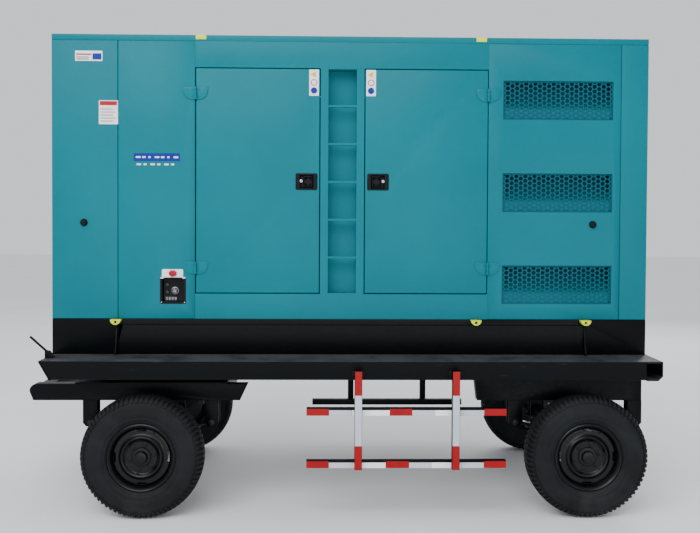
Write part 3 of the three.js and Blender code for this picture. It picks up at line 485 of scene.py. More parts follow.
zinc = plain_stuff("zinc_plate", (0.52, 0.53, 0.55), (0.38, 0.39, 0.42), 0.32, 120.0, 0.1, 1.0)
dark_steel = plain_stuff("greased_steel", (0.010, 0.010, 0.0115), (0.004, 0.004, 0.0046), 0.45, 90.0, 0.25, 0.5)
heat_steel = plain_stuff("heat_dulled_steel", (0.24, 0.20, 0.17), (0.13, 0.11, 0.10), 0.55, 40.0, 0.3, 0.8)
soft_rubber = plain_stuff("moulded_rubber", (0.002, 0.002, 0.0023), (0.004, 0.004, 0.0045), 0.7, 300.0, 0.25,
                          specular=0.2)
black_plastic = plain_stuff("moulded_plastic", (0.0010, 0.0014, 0.0022), (0.0018, 0.0024, 0.0034), 0.42, 700.0,
                            0.12, specular=0.16)
grey_plastic = plain_stuff("grey_plastic", (0.010, 0.011, 0.014), (0.016, 0.017, 0.020), 0.3, 700.0, 0.08,
                           specular=0.4)
stop_red = plain_stuff("stop_red", (0.36, 0.0008, 0.012), (0.30, 0.0006, 0.010), 0.3, 500.0, 0.05, specular=0.3)
label_white = plain_stuff("label_white", (0.80, 0.82, 0.84), (0.72, 0.74, 0.77), 0.35, 150.0, 0.03)
label_blue, label_red, label_yellow = (
    plain_stuff(name, colour, drift, 0.4, 150.0, 0.03, specular=0.2) for name, colour, drift in (
        ("label_blue", (0.001, 0.016, 0.20), (0.0015, 0.022, 0.24)),
        ("label_red", (0.42, 0.006, 0.016), (0.36, 0.006, 0.016)),
        ("label_yellow", (0.72, 0.46, 0.006), (0.66, 0.42, 0.008))))
foam = plain_stuff("acoustic_foam", (0.010, 0.011, 0.013), (0.02, 0.021, 0.024), 0.9, 55.0, 0.9)
cooling_core = plain_stuff("radiator_core", (0.09, 0.09, 0.095), (0.05, 0.05, 0.055), 0.5, 30.0, 0.6, 0.6,
                           (1.0, 1.0, 14.0))
print("materials", len(bpy.data.materials))

# %% [markdown]
# ## Tyre rubber and reflective tape
# Rubber is nearly black, and its sidewall carries a thin brown-grey bloom of road dust that is uneven round the tyre.
# Low down the sidewall turns lighter still, partly road dust and partly a painted highlight of the light that the
# floor throws back. Reflective tape has a honeycomb of tiny cells under a clear face, which a Voronoi texture draws in
# the piece's own coordinates.

# %% Rubber and tape
def tyre_rubber():
    material, tree, shader, place = new_material("tyre_rubber")
    bloom = remap(tree, noise(tree, place, 3.2, 6.0, 0.7), 0.38, 0.72, smooth_step=True)
    fine = noise(tree, place, 190.0, 5.0, 0.7)
    body = mix_colour(tree, bloom, (0.0026, 0.0031, 0.0042), (0.0085, 0.0098, 0.0128))
    dusty = mix_colour(tree, multiply(tree, upward(tree, 0.2, 1.0), 0.3), body, (0.026, 0.027, 0.029))
    # Lighter towards the ground: partly road dust, partly a painted highlight of the light the floor throws back.
    low = height_share(tree, place, 0.28, 0.0)
    tree.links.new(mix_colour(tree, multiply(tree, multiply(tree, low, bloom), 0.5), dusty, (0.032, 0.031, 0.030)),
                   shader.inputs["Base Color"])
    tree.links.new(remap(tree, fine, 0.3, 0.7, 0.62, 0.82), shader.inputs["Roughness"])
    shader.inputs["Specular IOR Level"].default_value = 0.22
    bump(tree, shader, fine, 0.35, 0.0006)
    return material


def reflective(name, colour, drift):
    material, tree, shader, place = new_material(name)
    cells = tree.nodes.new("ShaderNodeTexVoronoi")
    cells.feature = "DISTANCE_TO_EDGE"
    cells.inputs["Scale"].default_value = 210.0
    tree.links.new(place, cells.inputs["Vector"])
    wall = remap(tree, cells.outputs["Distance"], 0.0, 0.06)
    slow = remap(tree, noise(tree, place, 7.0), 0.35, 0.65)
    body = mix_colour(tree, slow, colour, drift)
    edge = tuple(min(1.0, c * 1.25) for c in colour)
    tree.links.new(mix_colour(tree, wall, edge, body), shader.inputs["Base Color"])
    shader.inputs["Roughness"].default_value = 0.34
    shader.inputs["Specular IOR Level"].default_value = 0.2
    bump(tree, shader, wall, 0.06, 0.0002)
    return material


rubber = tyre_rubber()
tape_red = reflective("tape_red", (0.30, 0.0004, 0.003), (0.25, 0.0004, 0.003))
tape_silver = reflective("tape_silver", (0.50, 0.53, 0.58), (0.42, 0.45, 0.50))
tape_white = reflective("tape_white", (0.86, 0.88, 0.90), (0.80, 0.82, 0.85))
print("rubber and tape ready")

# %% [markdown]
# ## Tyres
# The real tyre is a moulded ring with a smooth sidewall, a few raised rings by the bead and heavy shoulder
# lugs. It could be one long profile per lug, but turning one profile round the axle and then raising every
# other strip of faces is how the mould itself is cut: grooves are what is left between the raised blocks.

# %% Tyre
WHEEL_LOW, WHEEL_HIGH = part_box("tyre_front_near")
TYRE_WIDTH = WHEEL_HIGH.y - WHEEL_LOW.y
TYRE_RADIUS = (WHEEL_HIGH.z - WHEEL_LOW.z) / 2
LUGS = 74
LUG_HEIGHT = 0.0095
LUG_DEPTH = 0.0325
CENTRE_RIB, MIDDLE_RIB = 0.022, 0.045
BEAD_RADIUS = 0.2035
half_tyre = TYRE_WIDTH / 2
body_radius = TYRE_RADIUS - LUG_HEIGHT


def tyre_profile():
    """Half of the outside as (radius, distance from the middle plane), from the crown to the bead."""
    crown = [(body_radius, 0.0), (body_radius - 0.0006, 0.022), (body_radius - 0.002, 0.045),
             (body_radius - 0.0052, 0.064)]
    shoulder = [(body_radius - 0.0105, 0.0795), (body_radius - 0.020, 0.0885), (body_radius - 0.031, 0.0935)]
    wall = [(body_radius - 0.035, 0.0965), (body_radius - 0.050, 0.1012), (body_radius - 0.068, 0.1045),
            (0.302, half_tyre - 0.0008), (0.297, half_tyre), (0.286, half_tyre - 0.0005),
            (0.281, half_tyre - 0.0022), (0.262, 0.1025), (0.259, 0.1038), (0.252, 0.1015), (0.249, 0.0985),
            (0.240, 0.0945), (0.231, 0.089), (0.2265, 0.0835), (0.222, 0.0795), (BEAD_RADIUS, 0.0792)]
    return crown + shoulder + wall


def make_tyre(name, centre):
    half = tyre_profile()
    profile = [(r, -w) for r, w in reversed(half)] + half[1:]
    tyre = spun(name, profile, centre, (0, 1, 0), steps=LUGS * 4)
    middle = Vector(centre)

    def ring_share(face_centre):
        angle = math.atan2(face_centre.z - middle.z, face_centre.x - middle.x)
        return (angle / (2 * math.pi) * LUGS) % 1.0

    def is_lug(face_centre, normal):
        away = face_centre - middle
        radius = math.hypot(away.x, away.z)
        width = abs(away.y)
        if radius < body_radius - LUG_DEPTH:
            return False
        shift = 0.5 if away.y > 0 else 0.0
        share = (ring_share(face_centre) + shift) % 1.0
        if width > MIDDLE_RIB:
            return share < 0.62
        if width > CENTRE_RIB:
            return (share + 0.25) % 1.0 < 0.8
        return (share + 0.5) % 1.0 < 0.8

    count = edit(tyre, is_lug, lambda: bpy.ops.mesh.extrude_region_shrink_fatten(
        TRANSFORM_OT_shrink_fatten={"value": LUG_HEIGHT}))
    return tyre, count


for end in ("front", "rear"):
    for side, sign in SIDES:
        low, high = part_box(f"tyre_{end}_{side}")
        tyre, count = make_tyre(f"tyre_{end}_{side}_moulded", (low + high) / 2)
        piece(tyre, f"tyre_{end}_{side}_moulded", f"wheel_{end}_{side}", "tyre", rubber, f"tyre_{end}_{side}",
              angle=30)
print("tyres", 4, "raised faces each", count)

# %% [markdown]
# ## Wheels
# A truck wheel is two pressings: a rolled rim with a flange that holds the bead, and a dish pressed out
# towards the hub with hand holes round it. One profile turned round the axle gives both at once. The hand
# holes are cut through by a boolean, because a real punch also cuts them after pressing. The nuts, the
# clamping ring and the hub cap are separate pieces that ride on the same wheel.

# %% Wheel
DISH_HOLES = 4
STUD_RADIUS = 0.083
STUDS = 6
HUB_FACE = 0.052
CLAMP_THICK = 0.0058
RIM_FACE = 0.0785
SLOT_RADIUS = 0.1745


def make_wheel(end, side, sign):
    tyre_low, tyre_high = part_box(f"tyre_{end}_{side}")
    centre = (tyre_low + tyre_high) / 2
    axis = Vector((0, sign, 0))
    well = [(RIM_FACE, 0.2215), (RIM_FACE + 0.008, 0.2222), (RIM_FACE + 0.0115, 0.2165), (RIM_FACE + 0.0095, 0.2110),
            (RIM_FACE + 0.002, 0.2060), (RIM_FACE - 0.004, 0.1985)]
    back = [(r, -w) for w, r in well] + [(0.1905, -0.055), (0.180, -0.045)]
    front = [(0.180, 0.020), (0.1905, 0.045)] + [(r, w) for w, r in reversed(well)]
    shell = [(0.2025, -RIM_FACE), *back, *front, (0.2025, RIM_FACE), (0.2025, -RIM_FACE)]
    ring = spun(f"wheel_rim_{end}_{side}", shell, centre, axis, steps=96)
    dish_out = [(0.1895, 0.044), (0.1875, 0.049), (0.182, 0.052), (0.170, 0.0525), (0.158, 0.052),
                (0.150, 0.0535), (0.142, 0.0590), (0.1365, 0.0665), (0.1310, 0.0700), (0.1255, 0.0690),
                (0.1180, 0.0620), (0.1115, 0.0545), (0.1045, HUB_FACE), (0.060, HUB_FACE), (0.040, HUB_FACE + 0.001)]
    dish_in = [(r, h - 0.010) for r, h in reversed(dish_out)]
    dish = spun(f"wheel_dish_{end}_{side}", [*dish_out, *dish_in, dish_out[0]], centre, axis, steps=96)
    holes = []
    for number in range(DISH_HOLES):
        angle = 2 * math.pi * number / DISH_HOLES
        spoke = Vector((math.cos(angle), 0, math.sin(angle)))
        around = Vector((-math.sin(angle), 0, math.cos(angle)))
        middle = centre + spoke * SLOT_RADIUS
        for slot_end in (-0.024, -0.012, 0.0, 0.012, 0.024):
            spot = middle + around * slot_end
            holes.append(rod("hand_hole", 0.0085, spot - axis * 0.01, spot + axis * 0.09, 20))
    cut(dish, *holes)
    round_edges(dish, 0.0018, 2, 50)
    return centre, axis, ring, dish


def hex_nut(spot, axis, across, height):
    nut = rod("wheel_nut", across / 1.732, spot, spot + axis * height, 6, 0.0014)
    washer = rod("wheel_nut_washer", across * 0.72, spot - axis * 0.001, spot + axis * 0.0035, 20, 0.001)
    stud = rod("wheel_stud", across * 0.30, spot, spot + axis * (height + 0.012), 14, 0.0015)
    return join("wheel_nut", [nut, washer, stud])


def make_hub(end, side, centre, axis):
    outer = abs(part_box(f"wheel_{end}_{side}")[0 if axis.y < 0 else 1].y - centre.y)
    profile = [(0.062, HUB_FACE + 0.0005), (0.062, HUB_FACE + 0.007), (0.060, HUB_FACE + 0.0095),
               (0.050, HUB_FACE + 0.0105), (0.0425, HUB_FACE + 0.0115), (0.0415, outer - 0.010),
               (0.0385, outer - 0.0035), (0.032, outer - 0.0008), (0.012, outer), (0.0005, outer)]
    hub = spun(f"hub_cap_{end}_{side}", profile, centre, axis, steps=48)
    plate = [(0.1035, 0.0002), (0.1035, 0.0038), (0.1015, CLAMP_THICK), (0.0640, CLAMP_THICK), (0.0625, 0.0042),
             (0.0625, 0.0002)]
    ring = spun(f"clamp_ring_{end}_{side}", [(r, HUB_FACE + h) for r, h in plate], centre, axis, steps=64)
    nuts = []
    for number in range(STUDS):
        angle = 2 * math.pi * (number + 0.25) / STUDS
        spoke = Vector((math.cos(angle), 0, math.sin(angle)))
        nuts.append(hex_nut(centre + spoke * STUD_RADIUS + axis * (HUB_FACE + CLAMP_THICK), axis, 0.027, 0.012))
    valve_spot = centre + Vector((0.45, 0, 0.89)).normalized() * 0.176 + axis * 0.045
    valve = rod("valve_stem", 0.0035, valve_spot, valve_spot + axis * 0.028, 12, 0.0006)
    valve_cap = rod("valve_cap", 0.0048, valve_spot + axis * 0.028, valve_spot + axis * 0.038, 12, 0.001)
    back = spun(f"brake_drum_{end}_{side}",
                [(0.040, 0.038), (0.150, 0.038), (0.158, 0.030), (0.158, -0.060), (0.150, -0.066),
                 (0.040, -0.066)], centre, axis, steps=48)
    return hub, ring, nuts, [valve, valve_cap], back


for end in ("front", "rear"):
    for side, sign in SIDES:
        body = f"wheel_{end}_{side}"
        centre, axis, ring, dish = make_wheel(end, side, sign)
        piece(ring, f"rim_{end}_{side}", body, "wheel_black", wheel_black, body, angle=40)
        piece(dish, f"dish_{end}_{side}", body, "wheel_black", wheel_black, body, angle=40)
        hub, clamp, nuts, valve, drum = make_hub(end, side, centre, axis)
        piece(hub, f"hub_cap_{end}_{side}", body, "wheel_black", wheel_black, angle=40)
        piece(clamp, f"clamp_ring_{end}_{side}", body, "wheel_black", wheel_black, angle=40)
        piece(nuts, f"wheel_nuts_{end}_{side}", body, "bare_steel", wheel_black, angle=30)
        piece(valve, f"valve_{end}_{side}", body, "bare_steel", dark_steel, angle=40)
        piece(drum, f"brake_drum_{end}_{side}", body, "chassis_black", dark_steel, angle=40)
print("wheels", 4, "hand holes each", DISH_HOLES)

# %% [markdown]
# ## Undercarriage from the engineering solids
# The frames, beams, axles and springs already have their true shape, but each edge is a knife edge. A real
# plate edge catches a line of light, so each solid is copied, welded and bevelled. Rebuilding them from
# primitives would only repeat the same numbers, so the copy is the better way. Bolts are added after.

# %% Bevelled frames, axles and springs
REFINED = (
    (("bogie_frame", "tow_bracket"), "bogie", "chassis_black", black, 0.003),
    (("front_axle",), "bogie", "chassis_black", black, 0.004),
    (("rear_axle",), "chassis", "chassis_black", black, 0.004),
    (("leaf_spring_front_near", "leaf_spring_front_far"), "bogie", "bare_steel", dark_steel, 0.0012),
    (("leaf_spring_rear_near", "leaf_spring_rear_far"), "chassis", "bare_steel", dark_steel, 0.0012),
    (("slew_ring_lower",), "bogie", "bare_steel", dark_steel, 0.002),
    (("slew_ring_upper",), "chassis", "bare_steel", dark_steel, 0.002),
    (("main_beam_near", "main_beam_far"), "chassis", "chassis_black", black, 0.004),
    (("rear_spring_frame_near", "rear_spring_frame_far"), "chassis", "chassis_black", black, 0.003),
    (("rear_bumper",), "chassis", "chassis_black", deck_black, 0.005),
    (("front_apron",), "chassis", "chassis_black", black, 0.004),
    (("brake_bracket",), "chassis", "chassis_black", black, 0.002),
    (("brake_lever",), "brake_lever", "chassis_black", black, 0.002),
)
for nodes, body, slot, material, edge in REFINED:
    for node in nodes:
        piece(refined(node, f"{node}_finished", edge), f"{node}_finished", body, slot, material, node)
print("bevelled copies", sum(len(row[0]) for row in REFINED))

# %% [markdown]
# ## Canopy skins
# The canopy is folded sheet, bolted together in bays, so its sides show upright seams. One big box with
# drawn lines would look flat. Each bay is therefore its own panel with a rounded fold, and the seam is the
# real gap between two panels. Openings are cut through before the edges are rounded, as on the real sheet.

# %% Canopy levels
roof_low, roof_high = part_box("roof")
LEFT, RIGHT = roof_low.x, roof_high.x
CANOPY_SIDE = roof_high.y
BASE_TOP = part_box("canopy_front_wall")[0].z
WALL_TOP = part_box("canopy_front_wall")[1].z
PANEL = 0.040
SEAM = 0.003
grille_low, grille_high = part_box("air_grille_near")
door_low, door_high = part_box("door_left_near")
DOOR_BOTTOM, DOOR_TOP = door_low.z, door_high.z
LEFT_DOOR = (-0.9605, door_high.x)
RIGHT_DOOR = (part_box("door_right_near")[0].x, 1.0055)
WINDOW_X = (grille_low.x + 0.025, grille_high.x - 0.025)
WINDOW_BASES = (1.3915, 2.0165, 2.6415)
WINDOW_HEIGHT = 0.260
STOP_BOX = (-1.1960, -1.0320, 1.3910, 1.5660)
BUTTON_OPENING = (-1.164, -1.064, 1.560, 1.616)
FRONT_SEAM, DOOR_SEAM, WINDOW_SEAM, REAR_SEAM = -1.4825, -0.9655, 1.0085, 1.9125


def slab(name, x, y, z, sign=-1, edge=0.002, segments=2):
    """A box given by its ranges along x, out from the middle along y, and up z, on one side of the machine."""
    return block(name, (x[0], sign * y[0], z[0]), (x[1], sign * y[1], z[1]), edge, segments)


def skin(name, x, z, sign, *openings):
    panel = slab(name, x, (CANOPY_SIDE, CANOPY_SIDE - PANEL), z, sign, edge=0)
    cutters = [slab("opening", o[:2], (CANOPY_SIDE + 0.02, CANOPY_SIDE - PANEL - 0.02), o[2:], sign, edge=0)
               for o in openings]
    cut(panel, *cutters)
    return round_edges(panel, 0.0035, 3, 40)


windows = [(WINDOW_X[0], WINDOW_X[1], base, base + WINDOW_HEIGHT) for base in WINDOW_BASES]
BAYS = (
    ("front_corner", LEFT, FRONT_SEAM - SEAM / 2, ()),
    ("front_bay", FRONT_SEAM + SEAM / 2, DOOR_SEAM - SEAM / 2, (STOP_BOX, BUTTON_OPENING)),
    ("window_bay", WINDOW_SEAM + SEAM / 2, REAR_SEAM - SEAM / 2, windows),
    ("rear_corner", REAR_SEAM + SEAM / 2, RIGHT, ()),
)
for side, sign in SIDES:
    for name, x0, x1, openings in BAYS:
        holes = openings if side == "near" or name == "window_bay" else ()
        node = f"front_side_panel_{side}" if x1 < 0 else f"rear_side_panel_{side}"
        panel = skin(name, (x0, x1), (BASE_TOP, WALL_TOP), sign, *holes)
        piece(panel, f"{name}_{side}", "chassis", "canopy_teal", teal, node, angle=40)
print("skin bays", len(BAYS) * 2)

# %% [markdown]
# ## Door frame and ladder recess
# Between the two doors the sheet steps back into a channel with rungs, which is the ladder to the roof.
# The engineering solid has that channel, so it is copied and its folds are rounded.

# %% Door frames
for side, sign in SIDES:
    node = f"door_frame_{side}"
    piece(refined(node, f"{node}_folded", 0.0025, 3), f"{node}_folded", "chassis", "canopy_teal", teal, node)

# %% [markdown]
# ## Perforated windows
# The air windows are covered by staggered punched sheet. A drawn pattern would have no depth, so one cell
# of the sheet is punched for real and two array modifiers lay it out, welding each cell to its neighbour.
# Behind it a sloped baffle keeps rain out and shows teal through the lower holes. Above the baffle the duct walls are
# painted dark teal as painted shade, which is why the holes are dark above, and the sheet itself is painted darker
# than the canopy as the shade of the recess.

# %% Punched sheet
CELLS_ACROSS, CELLS_UP = 12, 8
HOLE_RADIUS = 0.0137


def punched_sheet(name, x, z, y, sign):
    wide, tall = (x[1] - x[0]) / CELLS_ACROSS, (z[1] - z[0]) / CELLS_UP
    cell = block(name, (x[0], sign * y, z[0]), (x[0] + wide, sign * (y - 0.0025), z[0] + tall), 0)
    spots = [(0.5, 0.5), (0, 0), (1, 0), (0, 1), (1, 1)]
    pins = [rod("punch", HOLE_RADIUS, (x[0] + wide * u, sign * (y + 0.01), z[0] + tall * v),
                (x[0] + wide * u, sign * (y - 0.02), z[0] + tall * v), 12) for u, v in spots]
    cut(cell, *pins)
    edges = (x[0], x[0] + wide, z[0], z[0] + tall)

    def on_rim(centre, normal):
        return (abs(normal.x) > 0.99 and min(abs(centre.x - edges[0]), abs(centre.x - edges[1])) < 1e-5) or \
               (abs(normal.z) > 0.99 and min(abs(centre.z - edges[2]), abs(centre.z - edges[3])) < 1e-5)

    edit(cell, on_rim, lambda: bpy.ops.mesh.delete(type="FACE"))
    for count, offset in ((CELLS_ACROSS, (wide, 0, 0)), (CELLS_UP, (0, 0, tall))):
        apply_modifier(cell, "ARRAY", count=count, use_relative_offset=False, use_constant_offset=True,
                       constant_offset_displace=offset, use_merge_vertices=True, merge_threshold=0.0002)
    edit_edges(cell, lambda middle, along: False,
               lambda: bpy.ops.mesh.select_non_manifold(extend=False, use_wire=False, use_boundary=True,
                                                        use_multi_face=False, use_non_contiguous=False,
                                                        use_verts=False),
               lambda: bpy.ops.mesh.bridge_edge_loops())
    return tidy_mesh(cell)


SHEET_OUT = 0.6877
RIM_WIDE = 0.0085
BAFFLE_RISE = 0.066
BAFFLE_FOLDS = ((0.010, 0.024), (0.022, 0.026), (0.050, 0.030))
for side, sign in SIDES:
    for number, (x0, x1, z0, z1) in enumerate(windows):
        # The punched sheet and its rim carry the grille's painted shade: canopy teal made darker.
        sheet = punched_sheet("punched", (x0 + 0.0005, x1 - 0.0005), (z0 + 0.0005, z1 - 0.0005), SHEET_OUT, sign)
        piece(sheet, f"punched_sheet_{number}_{side}", "chassis", "grille", grille_shade_paint, f"air_grille_{side}", angle=30)
        rim = slab("window_rim", (x0 + 0.0003, x1 - 0.0003), (0.6898, 0.6880), (z0 + 0.0003, z1 - 0.0003), sign, 0)
        cut(rim, slab("hole", (x0 + RIM_WIDE, x1 - RIM_WIDE), (0.70, 0.66), (z0 + RIM_WIDE, z1 - RIM_WIDE), sign, 0))
        piece(rim, f"window_rim_{number}_{side}", "chassis", "canopy_teal", grille_shade_paint, angle=30)
        baffle = slab("baffle", (x0 - 0.01, x1 + 0.01), (0.6848, 0.6822), (z0 - 0.008, z0 + BAFFLE_RISE), sign, 0)
        edit(baffle, lambda c, n: n.z > 0.9, *(
            lambda inward=inward, up=up: bpy.ops.mesh.extrude_region_move(
                TRANSFORM_OT_translate={"value": (0, -sign * inward, up)}) for inward, up in BAFFLE_FOLDS))
        piece(baffle, f"rain_baffle_{number}_{side}", "chassis", "canopy_teal", baffle_teal, angle=30)
        # The duct walls carry painted shade: dark teal that makes the holes above the baffle look dark.
        duct = [slab("wall", (x0 - 0.02, x1 + 0.02), (0.6000, 0.5880), (z0 + 0.06, z1 + 0.05), sign, 0.001),
                slab("ceiling", (x0 - 0.02, x1 + 0.02), (0.6820, 0.5890), (z1 + 0.030, z1 + 0.040), sign, 0.001)]
        piece(duct, f"duct_wall_{number}_{side}", "chassis", "canopy_teal", duct_painted_shade, angle=30)
print("punched sheets", 2 * len(windows), "holes each", 2 * CELLS_ACROSS * CELLS_UP)

# %% [markdown]
# ## Doors
# A canopy door is a shallow pan: a flat skin with folded sides, a foam pad inside and a pocket for the
# handle. The pan is made by insetting the inner face of a slab and pushing it in, which leaves the fold and
# the lip at once. The pocket is cut, because the handle's back wall belongs to the skin.

# %% Doors, pads and pockets
POCKET_Z = (2.1675, 2.2595)
POCKETS = {"left": (-0.2665, -0.1705), "right": (0.2155, 0.3115)}
PAD_MARGIN = 0.030


def make_door(name, x, sign, pocket):
    door = slab(name, x, (CANOPY_SIDE, CANOPY_SIDE - PANEL), (DOOR_BOTTOM, DOOR_TOP), sign, 0)
    edit(door, lambda c, n: n.y * sign < -0.9, lambda: bpy.ops.mesh.inset(thickness=0.024, depth=0),
         lambda: bpy.ops.transform.translate(value=(0, sign * 0.012, 0)))
    cut(door, slab("pocket", pocket, (CANOPY_SIDE + 0.02, CANOPY_SIDE - 0.0240), POCKET_Z, sign, 0))
    return round_edges(door, 0.0032, 3, 40)


for side, sign in SIDES:
    for hand, x in (("left", LEFT_DOOR), ("right", RIGHT_DOOR)):
        body = f"door_{hand}_{side}"
        door = make_door("door", x, sign, POCKETS[hand])
        piece(door, f"door_{hand}_{side}_pan", body, "canopy_teal", teal, body, angle=40)
        pad = slab("pad", (x[0] + PAD_MARGIN, x[1] - PAD_MARGIN), (0.6705, 0.6615),
                   (DOOR_BOTTOM + PAD_MARGIN, DOOR_TOP - PAD_MARGIN), sign, 0.004, 3)
        piece(pad, f"door_{hand}_{side}_pad", body, "canopy_teal", foam, angle=40)
print("doors 4, skin", round(LEFT_DOOR[1] - LEFT_DOOR[0], 3))

# %% [markdown]
# ## Hinges
# Each hinge is a pair of boat-shaped leaves round a barrel in three knuckles. The outer lower corner of a
# leaf is swept up in a wide curve. A wide bevel on that one upright edge makes the sweep, which is simpler
# than drawing the outline by hand. One leaf and one knuckle ride on the door, the rest stay on the canopy.

# %% Hinges
HINGE_Z = (1.6295, 2.8015)
LEAF_WIDE, LEAF_TALL, LEAF_THICK = 0.082, 0.086, 0.0055
BARREL_RADIUS, BARREL_OUT = 0.0085, 0.0145


def hinge_leaf(axis_x, z, sign, away):
    inner, outer = axis_x + away * 0.0045, axis_x + away * LEAF_WIDE
    leaf = slab("leaf", sorted((inner, outer)), (CANOPY_SIDE + 0.0002, CANOPY_SIDE + LEAF_THICK),
                (z - LEAF_TALL / 2, z + LEAF_TALL / 2), sign, 0)
    round_corners(leaf, 0.062, 10, lambda middle: abs(middle.x - outer) < 0.001 and middle.z < z)
    round_edges(leaf, 0.0012, 2, 50)
    screws = [rod("screw", 0.0052, (axis_x + away * across, sign * CANOPY_SIDE, z + up),
                  (axis_x + away * across, sign * (CANOPY_SIDE + LEAF_THICK + 0.0022), z + up), 16, 0.0009)
              for across, up in ((0.022, 0.026), (0.060, 0.026), (0.026, -0.024))]
    return [leaf, *screws]


def knuckle(axis_x, z0, z1, sign):
    y = sign * (CANOPY_SIDE + BARREL_OUT)
    return rod("knuckle", BARREL_RADIUS, (axis_x, y, z0), (axis_x, y, z1), 24, 0.001)


for side, sign in SIDES:
    for hand, axis_x, away in (("left", -0.9635, 1), ("right", WINDOW_SEAM, -1)):
        fixed, moving = [], []
        for z in HINGE_Z:
            third = LEAF_TALL / 6
            moving += hinge_leaf(axis_x, z, sign, away) + [knuckle(axis_x, z - third, z + third, sign)]
            fixed += hinge_leaf(axis_x, z, sign, -away)
            fixed += [knuckle(axis_x, z - 3 * third, z - third - 0.0006, sign),
                      knuckle(axis_x, z + third + 0.0006, z + 3 * third, sign)]
        piece(moving, f"hinge_leaves_{hand}_{side}", f"door_{hand}_{side}", "canopy_teal", teal)
        piece(fixed, f"hinge_mounts_{hand}_{side}", "chassis", "canopy_teal", teal)
print("hinges", 8)

# %% [markdown]
# ## Door handles
# The handle is a flush paddle in a moulded bezel, with a lock barrel beside it on the hinge side. The bezel
# is a rounded plate with the pocket cut through it, and the paddle has a finger scoop and a raised grip.

# %% Bezels, locks and paddles
BEZEL_WIDE, BEZEL_TALL, BEZEL_THICK = 0.146, 0.112, 0.0035
LOCK_ROOM = 0.022
LOCK_ASIDE = 0.0355
GRIP_IN = 0.024


def make_bezel(hand, sign, pocket):
    middle = (pocket[0] + pocket[1]) / 2
    z = sum(POCKET_Z) / 2
    bezel = slab("bezel", (middle - BEZEL_WIDE / 2, middle + BEZEL_WIDE / 2),
                 (CANOPY_SIDE + BEZEL_THICK, CANOPY_SIDE + 0.0002), (z - BEZEL_TALL / 2, z + BEZEL_TALL / 2), sign, 0)
    round_corners(bezel, 0.010, 5)
    cut(bezel, slab("pocket", (pocket[0] + 0.001, pocket[1] - 0.001), (0.72, 0.68),
                    (POCKET_Z[0] + 0.001, POCKET_Z[1] - 0.001), sign, 0))
    round_edges(bezel, 0.0011, 2, 50)
    liner = slab("liner", (pocket[0] + 0.0004, pocket[1] - 0.0004), (CANOPY_SIDE - 0.0215, CANOPY_SIDE - 0.0235),
                 (POCKET_Z[0] + 0.0004, POCKET_Z[1] - 0.0004), sign, 0.0006)
    lock_x = middle + (-1 if hand == "left" else 1) * LOCK_ASIDE
    y = CANOPY_SIDE - 0.0010
    barrel = spun("lock", [(0.0098, -0.0215), (0.0098, 0.0018), (0.0086, 0.0026), (0.0062, 0.0026),
                           (0.0058, 0.0014), (0.0004, 0.0014)], (lock_x, sign * y, z + 0.004), (0, sign, 0), 32)
    key_slot = slab("key_slot", (lock_x - 0.0011, lock_x + 0.0011), (y + 0.0022, y + 0.001),
                    (z - 0.0005, z + 0.0085), sign, 0.0003)
    return bezel, liner, [barrel, key_slot]


def make_paddle(node, hand, sign):
    low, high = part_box(node)
    outer, inner = max(abs(low.y), abs(high.y)), min(abs(low.y), abs(high.y))
    shift = LOCK_ROOM if hand == "left" else 0.0
    low, high = Vector((low.x + shift, low.y, low.z)), Vector((high.x - LOCK_ROOM + shift, high.y, high.z))
    plate = slab("paddle", (low.x, high.x), (outer, inner), (low.z, high.z), sign, 0)
    round_corners(plate, 0.006, 4)
    edit(plate, lambda c, n: n.y * sign > 0.9, lambda: bpy.ops.mesh.inset(thickness=0.008, depth=0),
         lambda: bpy.ops.mesh.inset(thickness=0.004, depth=-0.0035))
    round_edges(plate, 0.0009, 2, 40)
    grip_x = low.x + GRIP_IN if hand == "right" else high.x - GRIP_IN
    grip = slab("grip", (grip_x - 0.016, grip_x + 0.016), (outer - 0.0002, outer - 0.006),
                (low.z + 0.014, high.z - 0.014), sign, 0.0014, 3)
    ribs = [slab("rib", (grip_x - 0.012, grip_x + 0.012), (outer - 0.0001, outer - 0.003), (z - 0.0011, z + 0.0011),
                 sign, 0.0005) for z in (low.z + 0.026, low.z + 0.034, low.z + 0.042, low.z + 0.050)]
    return [plate, grip, *ribs]


for side, sign in SIDES:
    for hand in ("left", "right"):
        bezel, liner, lock = make_bezel(hand, sign, POCKETS[hand])
        door = f"door_{hand}_{side}"
        piece(bezel, f"handle_bezel_{hand}_{side}", door, "black_plastic", black_plastic)
        piece(liner, f"handle_liner_{hand}_{side}", door, "black_plastic", black_plastic)
        piece(lock, f"lock_barrel_{hand}_{side}", door, "bare_steel", zinc)
        node = f"latch_{hand}_{side}"
        piece(make_paddle(node, hand, sign), f"paddle_{hand}_{side}", node, "black_plastic", black_plastic, node)
print("handles", 4)

# %% [markdown]
# ## Roof and end walls
# The roof is a sheet with a turned-down edge. Its top has shallow pressed bays so that it does not drum.
# Insetting each bay and lowering it keeps the roof one closed shape. The ends keep their engineering
# openings and blades, with rounded folds.

# %% Roof
BAY_COUNT = 5
MARK_X = (-0.9275, 0.9595)

